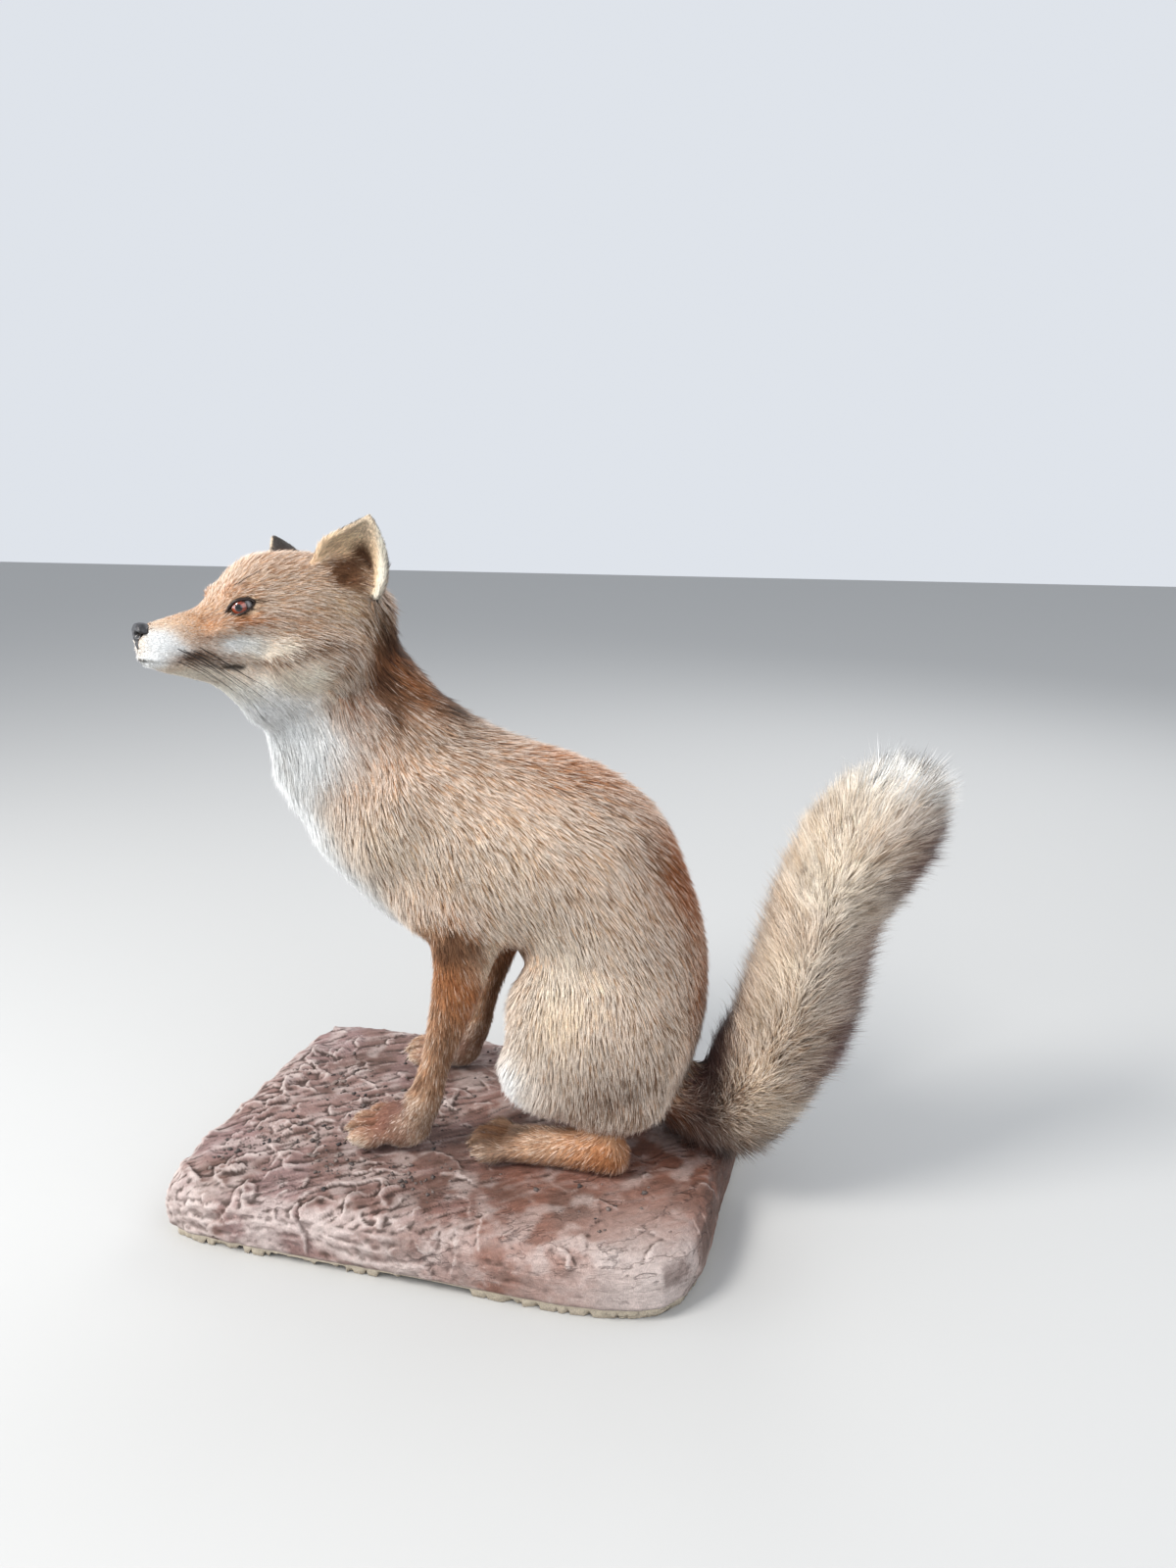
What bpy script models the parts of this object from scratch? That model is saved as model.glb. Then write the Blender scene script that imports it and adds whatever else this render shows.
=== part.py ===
"""A life-size mounted red fox that sits on a slab of modelled ground.

Metres, +Z up. The fox looks along -X with its left side towards -Y, and turns its head to its left.
The origin is the middle of the slab's underside. The body is modelled whole, out to the tips of the
coat, and is then parted with thin cuts into the pieces that a person would name.
"""

import math

import bmesh
import bpy
from mathutils import Euler, Matrix, Vector

# Driving dimensions
BASE_LENGTH = 0.412
BASE_DEPTH = 0.284
BASE_HEIGHT = 0.050
BASE_EDGE = 0.022          # how far the slab's upper edge rolls over
MIDLINE_Y = 0.018          # the fox sits a little towards the far side of its slab
HEAD_PIVOT = Vector((-0.0992, MIDLINE_Y, 0.4653))
HEAD_TURN = math.radians(50)
HEAD_TILT = math.radians(6)     # its left ear is the higher one
EYE_RADIUS = 0.0086
EYE_PLACE = (0.0850, 0.0238, -0.0018)                                  # left eye, in the head's frame
EAR_TIPS = {1: (0.006, 0.072, 0.0535), -1: (0.024, -0.072, 0.0495)}    # left (1) and right (-1)
LEG_SPREAD = 0.064         # each forepaw's distance from the midline
FOOT_SPREAD = 0.058
GAP = 0.0003               # left between pieces that touch

# How finely the flesh is fused, and how many triangles it keeps
BODY_VOXEL, BODY_TRIANGLES = 0.0050, 2200
HEAD_VOXEL, HEAD_TRIANGLES = 0.0026, 1600
PAW_VOXEL, PAW_TRIANGLES = 0.0020, 320
RING_POINTS = 20

GINGER = (0.42, 0.23, 0.11)
TAN = (0.52, 0.38, 0.24)
CREAM = (0.70, 0.62, 0.48)
BROWN = (0.20, 0.11, 0.06)
SOOT = (0.05, 0.04, 0.04)
AMBER = (0.45, 0.17, 0.03)
CLAY = (0.42, 0.30, 0.24)

SIDES = ((1, "left"), (-1, "right"))


# Forms ------------------------------------------------------------------------------------------

def object_from(bm, name="form"):
    bmesh.ops.recalc_face_normals(bm, faces=bm.faces)
    mesh = bpy.data.meshes.new(name)
    bm.to_mesh(mesh)
    bm.free()
    made = bpy.data.objects.new(name, mesh)
    bpy.context.scene.collection.objects.link(made)
    return made


def between(a, b, c, d, t):
    """The Catmull-Rom curve from b to c at t, for numbers and vectors alike."""
    square, cube = 2 * a - 5 * b + 4 * c - d, 3 * b - a - 3 * c + d
    return 0.5 * (2 * b + (c - a) * t + square * t ** 2 + cube * t ** 3)


def eased(stations, steps):
    """The stations with smooth ones between each pair."""
    ends = [stations[0], *stations, stations[-1]]
    made = []
    for i in range(len(stations) - 1):
        for step in range(steps):
            made.append([between(*values, step / steps) for values in zip(*ends[i:i + 4])])
    return made + [list(stations[-1])]


def loft(stations, fullness=2.0, steps=4):
    """A closed form through stations of (centre, half height vector, half width vector).

    fullness 2 makes oval sections, and more makes boxier ones."""
    bm = bmesh.new()
    rings = []
    for centre, half_up, half_out in eased(stations, steps):
        ring = []
        for k in range(RING_POINTS):
            angle = 2 * math.pi * k / RING_POINTS
            up = math.copysign(abs(math.cos(angle)) ** (2 / fullness), math.cos(angle))
            out = math.copysign(abs(math.sin(angle)) ** (2 / fullness), math.sin(angle))
            ring.append(bm.verts.new(centre + half_up * up + half_out * out))
        rings.append(ring)
    skin_rings(bm, rings)
    return object_from(bm)


def skin_rings(bm, rings):
    """Joins rings of equal length into a closed body."""
    count = len(rings[0])
    for first, second in zip(rings, rings[1:]):
        for k in range(count):
            after = (k + 1) % count
            bm.faces.new((first[k], first[after], second[after], second[k]))
    bm.faces.new(rings[0])
    bm.faces.new(rings[-1])


def profile_loft(profile, shift=(0, 0, 0), fullness=2.0, steps=4):
    """A loft across a side view: each row is (upper x, upper z, lower x, lower z, half width)."""
    stations = []
    for upper_x, upper_z, lower_x, lower_z, half_width in profile:
        upper, lower = Vector((upper_x, 0, upper_z)), Vector((lower_x, 0, lower_z))
        centre = (upper + lower) / 2 + Vector(shift)
        stations.append((centre, (upper - lower) / 2, Vector((0, half_width, 0))))
    return loft(stations, fullness, steps)


def egg(centre, radii, turn=(0, 0, 0), segments=20):
    """An ellipsoid; turn is in degrees about X, Y and Z."""
    bm = bmesh.new()
    bmesh.ops.create_uvsphere(bm, u_segments=segments, v_segments=segments // 2, radius=1)
    angles = Euler([math.radians(a) for a in turn])
    bm.transform(Matrix.Translation(centre) @ angles.to_matrix().to_4x4() @ Matrix.Diagonal((*radii, 1)))
    return object_from(bm)


def claw(start, end, radius):
    """A blunt point from start to end."""
    bm = bmesh.new()
    axis = end - start
    place = Matrix.Translation((start + end) / 2) @ axis.to_track_quat("Z", "Y").to_matrix().to_4x4()
    bmesh.ops.create_cone(
        bm, cap_ends=True, segments=8, radius1=radius, radius2=radius * 0.3, depth=axis.length, matrix=place
    )
    return object_from(bm)


def box(low, high, place=None):
    """A box between two corners, then moved by the matrix place."""
    bm = bmesh.new()
    bmesh.ops.create_cube(bm, size=1)
    low, high = Vector(low), Vector(high)
    bm.transform(Matrix.Translation((low + high) / 2) @ Matrix.Diagonal((*(high - low), 1)))
    if place:
        bm.transform(place)
    return object_from(bm)


# Cutting and fusing -------------------------------------------------------------------------------

def baked(obj):
    """Applies the object's modifiers."""
    graph = bpy.context.evaluated_depsgraph_get()
    mesh = bpy.data.meshes.new_from_object(obj.evaluated_get(graph))
    obj.modifiers.clear()
    obj.data = mesh
    return obj


def joined(forms):
    bm = bmesh.new()
    for form in forms:
        bm.from_mesh(form.data)
        bpy.data.objects.remove(form)
    return object_from(bm)


def fuse(forms, voxel, triangles, smoothing=4):
    """Melts overlapping forms into one smooth skin of about that many triangles."""
    body = joined(forms)
    remesh = body.modifiers.new("fuse", "REMESH")
    remesh.mode = "VOXEL"
    remesh.voxel_size = voxel
    smooth = body.modifiers.new("blend", "SMOOTH")
    smooth.factor = 0.5
    smooth.iterations = smoothing
    baked(body)
    faces = sum(len(face.vertices) - 2 for face in body.data.polygons)
    thin = body.modifiers.new("thin", "DECIMATE")
    thin.ratio = min(1.0, triangles / faces)
    return baked(body)


def copy_of(obj):
    made = obj.copy()
    made.data = obj.data.copy()
    bpy.context.scene.collection.objects.link(made)
    return made


def swollen(obj, by=GAP):
    """A copy that stands out by a gap's width, to cut its neighbour with."""
    made = copy_of(obj)
    swell = made.modifiers.new("swell", "DISPLACE")
    swell.strength = by
    swell.mid_level = 0.0
    return baked(made)


def combine(obj, cutter, operation):
    """Cuts obj with the cutter, which goes away."""
    act = obj.modifiers.new(operation.lower(), "BOOLEAN")
    act.operation = operation
    act.object = cutter
    baked(obj)
    bpy.data.objects.remove(cutter)
    return main_island(obj)


def main_island(obj):
    """Drops crumbs that a cut left, and keeps the biggest body."""
    bm = bmesh.new()
    bm.from_mesh(obj.data)
    bm.verts.ensure_lookup_table()
    unseen, islands = set(bm.verts), []
    while unseen:
        stack, island = [unseen.pop()], []
        while stack:
            vert = stack.pop()
            island.append(vert)
            for edge in vert.link_edges:
                other = edge.other_vert(vert)
                if other in unseen:
                    unseen.remove(other)
                    stack.append(other)
        islands.append(island)
    islands.sort(key=len)
    crumbs = [vert for island in islands[:-1] for vert in island]
    bmesh.ops.delete(bm, geom=crumbs, context="VERTS")
    bm.to_mesh(obj.data)
    bm.free()
    return obj


def cell(low, high, place=None):
    """A maker of one cutting box; calling it with a margin makes the box that much larger all round."""
    def make(margin=0.0):
        rim = Vector((margin, margin, margin))
        return box(Vector(low) - rim, Vector(high) + rim, place)
    return make


def tilted(x, z, degrees):
    """A place on the midline, turned about Y: positive leans its +Z forward along +X."""
    return Matrix.Translation((x, MIDLINE_Y, z)) @ Matrix.Rotation(math.radians(degrees), 4, "Y")


def part_off(body, place):
    """Splits a body at a cell: returns the piece inside it, and leaves the rest a gap away."""
    piece = combine(copy_of(body), place(), "INTERSECT")
    combine(body, place(GAP), "DIFFERENCE")
    return piece


# The body -------------------------------------------------------------------------------------------

def trunk_form():
    """From the withers over the back to the rump."""
    return profile_loft([
        (-0.040, 0.408, -0.150, 0.330, 0.048),
        (0.000, 0.381, -0.138, 0.284, 0.060),
        (0.038, 0.367, -0.110, 0.250, 0.068),
        (0.076, 0.358, -0.064, 0.214, 0.073),
        (0.115, 0.341, -0.006, 0.205, 0.074),
        (0.147, 0.313, 0.034, 0.203, 0.071),
        (0.169, 0.268, 0.046, 0.186, 0.070),
        (0.184, 0.215, 0.052, 0.150, 0.073),
        (0.185, 0.160, 0.066, 0.105, 0.073),
        (0.173, 0.110, 0.092, 0.070, 0.064),
        (0.155, 0.075, 0.118, 0.060, 0.034),
    ], (0, MIDLINE_Y, 0))


def neck_form():
    """From the chest up into the skull; each section is turned further to the head's side."""
    stations = []
    for upper_x, upper_z, lower_x, lower_z, half_width, turn, y in (
        (0.022, 0.373, -0.128, 0.282, 0.058, 0, 0.000),
        (-0.018, 0.387, -0.150, 0.310, 0.056, 6, -0.002),
        (-0.043, 0.416, -0.159, 0.335, 0.052, 15, -0.006),
        (-0.062, 0.440, -0.162, 0.358, 0.049, 27, -0.008),
        (-0.078, 0.459, -0.166, 0.382, 0.045, 40, -0.010),
        (-0.090, 0.473, -0.170, 0.406, 0.038, 50, -0.010),
    ):
        upper, lower = Vector((upper_x, 0, upper_z)), Vector((lower_x, 0, lower_z))
        turned = Matrix.Rotation(math.radians(turn), 3, "Z")
        centre = (upper + lower) / 2 + Vector((0, MIDLINE_Y + y, 0))
        stations.append((centre, turned @ (upper - lower) / 2, turned @ Vector((0, half_width, 0))))
    return loft(stations)


def shoulder_forms(side):
    """The shoulder blade and the upper arm, which swell from the chest."""
    y = MIDLINE_Y - side * 0.043
    return [
        egg((-0.040, y, 0.306), (0.058, 0.030, 0.040), (0, -55, 0)),
        egg((-0.012, y - side * 0.004, 0.250), (0.044, 0.027, 0.032), (0, 28, 0)),
    ]


def foreleg_form(side):
    """From the elbow down into the paw: front edge, back edge, half width, distance from midline."""
    slip = 0.0 if side > 0 else 0.006
    stations = []
    for front_x, front_z, back_x, back_z, half_width, spread in (
        (-0.030, 0.262, 0.042, 0.268, 0.026, 0.048),
        (-0.018, 0.232, 0.043, 0.240, 0.0245, 0.053),
        (-0.0135, 0.205, 0.036, 0.208, 0.0215, 0.057),
        (-0.0150, 0.180, 0.027, 0.182, 0.0185, 0.060),
        (-0.0185, 0.155, 0.016, 0.155, 0.0165, 0.062),
        (-0.0230, 0.130, 0.0055, 0.130, 0.0150, 0.063),
        (-0.0310, 0.106, -0.0030, 0.104, 0.0148, LEG_SPREAD),
        (-0.0420, 0.086, -0.0105, 0.080, 0.0155, LEG_SPREAD),
        (-0.0520, 0.070, -0.0200, 0.062, 0.0155, LEG_SPREAD),
    ):
        front, back = Vector((front_x - slip, 0, front_z)), Vector((back_x - slip, 0, back_z))
        centre = (front + back) / 2 + Vector((0, MIDLINE_Y - side * spread, 0))
        stations.append((centre, (front - back) / 2, Vector((0, half_width, 0))))
    return loft(stations)


def toe_forms(knuckles, spread, lengths, radius, claw_length):
    """Four toes, fanned a little, each with its claw, from where their knuckles meet."""
    made = []
    for k, length in enumerate(lengths):
        fan = math.radians((k - 1.5) * 6)
        ahead = Vector((-math.cos(fan), math.sin(fan), 0))
        start = knuckles + Vector((0, (k - 1.5) * spread, 0))
        toe = (length * 0.62, radius * 0.86, radius)
        made.append(egg(start + ahead * length * 0.5, toe, (0, 0, -math.degrees(fan)), 14))
        tip = start + ahead * length
        made.append(claw(tip, tip + ahead * claw_length - Vector((0, 0, radius * 0.65)), 0.0030))
    return made


def forepaw(side):
    """Wrist, pastern and toes of one forefoot."""
    slip = 0.0 if side > 0 else 0.006
    y = MIDLINE_Y - side * LEG_SPREAD
    pastern = egg((-0.040 - slip, y, BASE_HEIGHT + 0.018), (0.024, 0.0185, 0.0185))
    knuckles = Vector((-0.050 - slip, y, BASE_HEIGHT + 0.0125))
    toes = toe_forms(knuckles, 0.0098, (0.026, 0.033, 0.033, 0.026), 0.0103, 0.009)
    return fuse([foreleg_form(side), pastern, *toes], PAW_VOXEL, PAW_TRIANGLES * 2, 2)


def thigh_forms(side):
    """The folded haunch: thigh, knee and shank."""
    y = MIDLINE_Y - side * 0.046
    return [
        egg((0.108, y, 0.160), (0.072, 0.043, 0.066), (0, 30, 0)),
        egg((0.080, y - side * 0.010, 0.128), (0.046, 0.031, 0.040)),
        egg((0.120, y - side * 0.006, 0.113), (0.050, 0.030, 0.031)),
    ]


def hindfoot(side):
    """Heel, metatarsus and toes, flat under the haunch."""
    y = MIDLINE_Y - side * FOOT_SPREAD
    sole = profile_loft([
        (0.135, 0.074, 0.135, 0.058, 0.008),
        (0.128, 0.084, 0.129, 0.050, 0.0130),
        (0.108, 0.083, 0.110, 0.050, 0.0140),
        (0.085, 0.080, 0.085, 0.050, 0.0145),
        (0.062, 0.077, 0.062, 0.050, 0.0165),
        (0.046, 0.073, 0.046, 0.050, 0.0180),
    ], (0, y, 0))
    knuckles = Vector((0.046, y, BASE_HEIGHT + 0.012))
    toes = toe_forms(knuckles, 0.0092, (0.023, 0.030, 0.030, 0.023), 0.0102, 0.007)
    return fuse([sole, *toes], PAW_VOXEL, PAW_TRIANGLES, 2)


def tail_form():
    """The brush, out to the tips of its hair."""
    return profile_loft([
        (0.124, 0.094, 0.128, 0.062, 0.018),
        (0.148, 0.101, 0.156, 0.054, 0.025),
        (0.171, 0.109, 0.196, 0.037, 0.034),
        (0.182, 0.122, 0.230, 0.048, 0.045),
        (0.193, 0.146, 0.260, 0.086, 0.052),
        (0.208, 0.180, 0.285, 0.132, 0.055),
        (0.218, 0.215, 0.297, 0.182, 0.055),
        (0.227, 0.250, 0.304, 0.228, 0.054),
        (0.239, 0.286, 0.318, 0.262, 0.052),
        (0.253, 0.318, 0.336, 0.291, 0.047),
        (0.272, 0.342, 0.344, 0.317, 0.037),
        (0.298, 0.356, 0.339, 0.343, 0.018),
    ], (0, MIDLINE_Y + 0.012, 0), steps=2)


# The head -----------------------------------------------------------------------------------------

def head_matrix():
    """From the head's own frame (+X to the nose, +Y to its left, +Z up) to the fox's."""
    turn = Matrix.Rotation(math.pi + HEAD_TURN, 4, "Z") @ Matrix.Rotation(HEAD_TILT, 4, "X")
    return Matrix.Translation(HEAD_PIVOT) @ turn


def in_place(forms):
    for form in forms:
        form.data.transform(head_matrix())
    return forms


def head_forms():
    skull = profile_loft([(x, top, x, bottom, width) for x, top, bottom, width in (
        (0.1530, -0.0120, -0.0290, 0.0080),
        (0.1460, -0.0092, -0.0360, 0.0122),
        (0.1340, -0.0062, -0.0400, 0.0148),
        (0.1200, -0.0028, -0.0430, 0.0172),
        (0.1080, 0.0012, -0.0455, 0.0205),
        (0.0980, 0.0110, -0.0490, 0.0262),
        (0.0850, 0.0248, -0.0530, 0.0335),
        (0.0710, 0.0340, -0.0570, 0.0405),
        (0.0540, 0.0368, -0.0610, 0.0460),
        (0.0340, 0.0368, -0.0630, 0.0485),
        (0.0120, 0.0335, -0.0610, 0.0470),
        (-0.0100, 0.0250, -0.0560, 0.0420),
        (-0.0300, 0.0110, -0.0480, 0.0330),
    )], fullness=2.2)
    jaw = profile_loft([(x, -0.0290, x, bottom, width) for x, bottom, width in (
        (0.1490, -0.0370, 0.0065),
        (0.1400, -0.0428, 0.0095),
        (0.1240, -0.0480, 0.0118),
        (0.1080, -0.0540, 0.0155),
        (0.0970, -0.0620, 0.0190),
        (0.0870, -0.0750, 0.0230),
        (0.0700, -0.0840, 0.0290),
        (0.0400, -0.0790, 0.0330),
    )])
    forms = [skull, jaw]
    for side in (-1, 1):
        forms.append(egg((0.0800, side * 0.0205, 0.0070), (0.017, 0.0105, 0.0120)))      # brow
        forms.append(egg((0.0830, side * 0.0225, -0.0165), (0.026, 0.0115, 0.0110)))     # cheekbone
        forms.append(egg((0.0340, side * 0.0330, -0.0380), (0.044, 0.0230, 0.0290)))     # ruff
        forms.append(egg((0.0110, side * 0.0335, 0.0110), (0.024, 0.0175, 0.0190)))      # ear's root
        forms.append(egg((0.1280, side * 0.0085, -0.0330), (0.022, 0.0085, 0.0095)))     # lip pad
    return in_place(forms)


def ear(side):
    """A cupped, pointed leaf with a wall, from its root in the skull to its tip."""
    rows, columns, wall = 8, 6, 0.0046
    root = Vector((0.0120, side * 0.0350, 0.0080))
    tip = Vector(EAR_TIPS[side])
    rise = tip - root
    axis = rise.normalized()
    opening = Vector((0.62, side * 0.78, -0.10))
    opening = (opening - axis * opening.dot(axis)).normalized()
    across = axis.cross(opening)
    bm = bmesh.new()
    grid = []
    for i in range(rows + 1):
        t = i / rows
        half = 0.0258 * (1 - t ** 1.9) ** 0.72 * (0.88 + 0.34 * t * (1 - t) * 4 * 0.5) + 0.0022
        wrap = math.radians(74 - 34 * t)
        row = []
        for j in range(columns + 1):
            around = (2 * j / columns - 1) * wrap
            radius = half / math.sin(wrap)
            depth = radius * (math.cos(around) - math.cos(wrap)) * 0.9
            height = t + 0.10 * (1 - t) * (j / columns - 0.5) * side
            sideways = across * (radius * math.sin(around))
            inward = opening * (0.006 * (1 - t) - depth)
            row.append(bm.verts.new(root + rise * height + sideways + inward))
        grid.append(row)
    for lower, upper in zip(grid, grid[1:]):
        for j in range(columns):
            bm.faces.new((lower[j], lower[j + 1], upper[j + 1], upper[j]))
    shell = object_from(bm)
    thick = shell.modifiers.new("wall", "SOLIDIFY")
    thick.thickness = wall
    thick.offset = 0.0
    rim = shell.modifiers.new("rim", "BEVEL")
    rim.width = 0.0012
    rim.segments = 1
    rim.angle_limit = math.radians(60)
    return in_place([baked(shell)])[0]


def eye(side):
    x, y, z = EYE_PLACE
    return in_place([egg((x, side * y, z), (EYE_RADIUS,) * 3, segments=16)])[0]


def socket(side):
    """An almond hollow that bares the eye, longer along the lids than it is high."""
    x, y, z = EYE_PLACE
    return in_place([
        egg((x + 0.0035, side * (y + 0.0075), z - 0.0006), (0.0108, 0.0060, 0.0054), (0, 12, side * -32), 16)
    ])[0]


def nose_pad():
    forms = [
        egg((0.1485, 0, -0.0150), (0.0080, 0.0098, 0.0068)),
        egg((0.1490, 0, -0.0215), (0.0062, 0.0060, 0.0062)),
    ]
    return fuse(in_place(forms), 0.0013, 220, 2)


# The slab -------------------------------------------------------------------------------------------

def slab():
    """A block of modelled ground: straight sides that wander a little, and a rolled upper edge."""
    columns, rows = 14, 10
    half_x, half_y = BASE_LENGTH / 2, BASE_DEPTH / 2
    border = [(x / columns * 2 - 1, -1.0) for x in range(columns)]
    border += [(1.0, y / rows * 2 - 1) for y in range(rows)]
    border += [(1 - x / columns * 2, 1.0) for x in range(columns)]
    border += [(-1.0, 1 - y / rows * 2) for y in range(rows)]
    outline = []
    for u, v in border:
        # The near right corner (+X, -Y) is much the roundest.
        power = 6 if u > 0 and v < 0 else 14
        corner = (abs(u) ** power + abs(v) ** power) ** (1 / power)
        wander = 1 + 0.008 * math.sin(7 * u + 2 * v) * math.sin(5 * v - u)
        outline.append(Vector((u / corner * half_x * wander, v / corner * half_y * wander, 0)))
    rings = []
    bm = bmesh.new()

    def add_ring(height, inset):
        ring = []
        for point in outline:
            inward = Vector((point.x * (1 - inset / half_x), point.y * (1 - inset / half_y), 0))
            ring.append(bm.verts.new(inward + Vector((0, 0, height))))
        rings.append(ring)

    add_ring(0.0, 0.006)
    add_ring(0.010, 0.0)
    for angle in (0, 30, 60, 90):
        bend = math.radians(angle)
        add_ring(BASE_HEIGHT - BASE_EDGE * (1 - math.sin(bend)), BASE_EDGE * (1 - math.cos(bend)))
    skin_rings(bm, rings)
    return object_from(bm)


# Where the body is parted ----------------------------------------------------------------------------

HEAD_CELL = cell(
    (0, -0.2, -0.3), (0.3, 0.2, 0.3),
    head_matrix() @ Matrix.Translation((-0.026, 0, 0.030)) @ Matrix.Rotation(math.radians(-33), 4, "Y"),
)
NECK_CELL = cell((-0.3, -0.2, 0), (0.3, 0.2, 0.3), tilted(-0.075, 0.3425, -28))
def foreleg_cell(side):
    low_y, high_y = sorted((-side * 0.022, -side * 0.2))
    return cell((-0.040, low_y, -0.2), (0.034, high_y, 0), tilted(0.012, 0.238, 13))


def thigh_cell(side):
    low_y, high_y = sorted((-side * 0.032, -side * 0.2))
    return cell((0.024, low_y, 0), (0.3, high_y, 0.21), tilted(0, 0, 0))


ABOVE_SLAB = cell((-0.4, -0.3, BASE_HEIGHT + GAP), (0.4, 0.3, 0.6))
PAW_CELL = cell((-0.2, -0.2, BASE_HEIGHT + GAP), (0.014, 0.2, 0.100))
TAIL_MIDDLE_CELL = cell((-0.2, -0.2, 0), (0.2, 0.2, 0.3), tilted(0.232, 0.125, 28))
TAIL_TIP_CELL = cell((-0.2, -0.2, 0), (0.2, 0.2, 0.3), tilted(0.270, 0.250, 18))


# Assembly ---------------------------------------------------------------------------------------------

def material(name, colour, roughness):
    made = bpy.data.materials.new(name)
    made.use_nodes = True
    shader = made.node_tree.nodes["Principled BSDF"]
    shader.inputs["Base Color"].default_value = (*colour, 1.0)
    shader.inputs["Roughness"].default_value = roughness
    return made


def finish(obj, name, coat):
    obj.name = obj.data.name = name
    obj.data.materials.clear()
    obj.data.materials.append(coat)
    obj.data.shade_smooth()
    obj.data.set_sharp_from_angle(angle=math.radians(50))


def make_head(parts):
    """The head down to a slanting cut behind the jaw, with its eyes, ears and nose let in."""
    head = fuse([neck_form(), *head_forms()], HEAD_VOXEL, HEAD_TRIANGLES, 8)
    combine(head, HEAD_CELL(), "INTERSECT")
    for side, word in SIDES:
        parts["ear_" + word] = combine(ear(side), swollen(head), "DIFFERENCE")
        parts["eye_" + word] = eye(side)
        combine(head, socket(side), "DIFFERENCE")
        combine(head, swollen(parts["eye_" + word]), "DIFFERENCE")
    parts["nose"] = nose_pad()
    parts["head"] = combine(head, swollen(parts["nose"]), "DIFFERENCE")


def make_body(parts):
    """One fused body, parted into neck, trunk, thighs and forelegs."""
    forms = [trunk_form(), neck_form(), *head_forms()]
    for side, _ in SIDES:
        forms += shoulder_forms(side) + [foreleg_form(side)] + thigh_forms(side)
    body = fuse(forms, BODY_VOXEL, BODY_TRIANGLES, 7)
    combine(body, HEAD_CELL(GAP), "DIFFERENCE")
    combine(body, ABOVE_SLAB(), "INTERSECT")
    combine(body, PAW_CELL(GAP), "DIFFERENCE")
    parts["neck"] = part_off(body, NECK_CELL)
    for side, word in SIDES:
        paw, foot = forepaw(side), hindfoot(side)
        parts["forepaw_" + word] = combine(paw, PAW_CELL(), "INTERSECT")
        parts["hindfoot_" + word] = combine(foot, ABOVE_SLAB(), "INTERSECT")
        combine(body, swollen(foot), "DIFFERENCE")
    tail = combine(tail_form(), swollen(body), "DIFFERENCE")
    combine(tail, swollen(parts["base"]), "DIFFERENCE")
    parts["tail_tip"] = part_off(tail, TAIL_TIP_CELL)
    parts["tail_middle"] = part_off(tail, TAIL_MIDDLE_CELL)
    parts["tail_root"] = tail
    for side, word in SIDES:
        parts["foreleg_" + word] = part_off(body, foreleg_cell(side))
        parts["thigh_" + word] = part_off(body, thigh_cell(side))
    parts["trunk"] = body


def main():
    for obj in list(bpy.data.objects):
        bpy.data.objects.remove(obj)
    parts = {"base": slab()}
    make_head(parts)
    make_body(parts)
    coats = {
        "base": material("painted_clay", CLAY, 0.7),
        "eye": material("eye_glass", AMBER, 0.06),
        "nose": material("nose_leather", SOOT, 0.45),
        "ear": material("cream_hair", CREAM, 0.85),
        "forepaw": material("brown_coat", BROWN, 0.85),
        "tail": material("tan_coat", TAN, 0.85),
    }
    ginger = material("ginger_coat", GINGER, 0.85)
    for name, obj in parts.items():
        finish(obj, name, coats.get(name.split("_")[0], ginger))


main()
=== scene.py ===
"""The dressed model of a mounted red fox that sits on a slab of painted ground.

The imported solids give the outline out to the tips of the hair. Here one skin replaces the flesh and
lies inside it by the depth of the coat, and the coat grows from that skin as solid tufts.
"""

import itertools
import math

import bmesh
import bpy
import numpy as np
from bpy.props import FloatProperty, FloatVectorProperty, IntProperty, PointerProperty
from mathutils import Matrix, Vector
from mathutils.bvhtree import BVHTree
from mathutils.kdtree import KDTree


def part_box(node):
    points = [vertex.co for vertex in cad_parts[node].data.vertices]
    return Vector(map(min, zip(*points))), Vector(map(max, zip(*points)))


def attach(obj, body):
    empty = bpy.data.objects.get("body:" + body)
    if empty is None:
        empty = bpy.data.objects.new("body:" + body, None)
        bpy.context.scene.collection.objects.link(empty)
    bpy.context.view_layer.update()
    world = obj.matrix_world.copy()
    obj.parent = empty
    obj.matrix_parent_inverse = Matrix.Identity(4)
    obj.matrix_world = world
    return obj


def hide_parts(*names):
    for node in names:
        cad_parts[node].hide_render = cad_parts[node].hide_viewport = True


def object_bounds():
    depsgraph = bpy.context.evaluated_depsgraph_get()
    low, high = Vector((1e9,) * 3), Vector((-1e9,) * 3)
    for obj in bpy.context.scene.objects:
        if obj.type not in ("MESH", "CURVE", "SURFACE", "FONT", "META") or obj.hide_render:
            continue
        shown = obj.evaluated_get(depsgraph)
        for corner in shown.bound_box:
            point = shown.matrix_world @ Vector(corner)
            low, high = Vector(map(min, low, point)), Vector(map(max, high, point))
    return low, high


bl_info = {
    "name": "Mounted fox",
    "version": (1, 0, 0),
    "blender": (4, 5, 0),
    "location": "View3D > Sidebar > Fox",
    "description": "Skin, coat, eyes, nose, whiskers, claws and painted ground of a mounted fox",
    "category": "Object",
}

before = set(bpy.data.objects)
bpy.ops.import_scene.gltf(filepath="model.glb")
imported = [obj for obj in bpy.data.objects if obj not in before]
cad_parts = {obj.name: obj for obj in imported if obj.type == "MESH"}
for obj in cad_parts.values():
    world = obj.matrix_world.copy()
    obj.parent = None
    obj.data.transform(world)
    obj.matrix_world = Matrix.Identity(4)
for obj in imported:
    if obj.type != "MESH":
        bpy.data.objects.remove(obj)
CAD_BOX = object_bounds()

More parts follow.
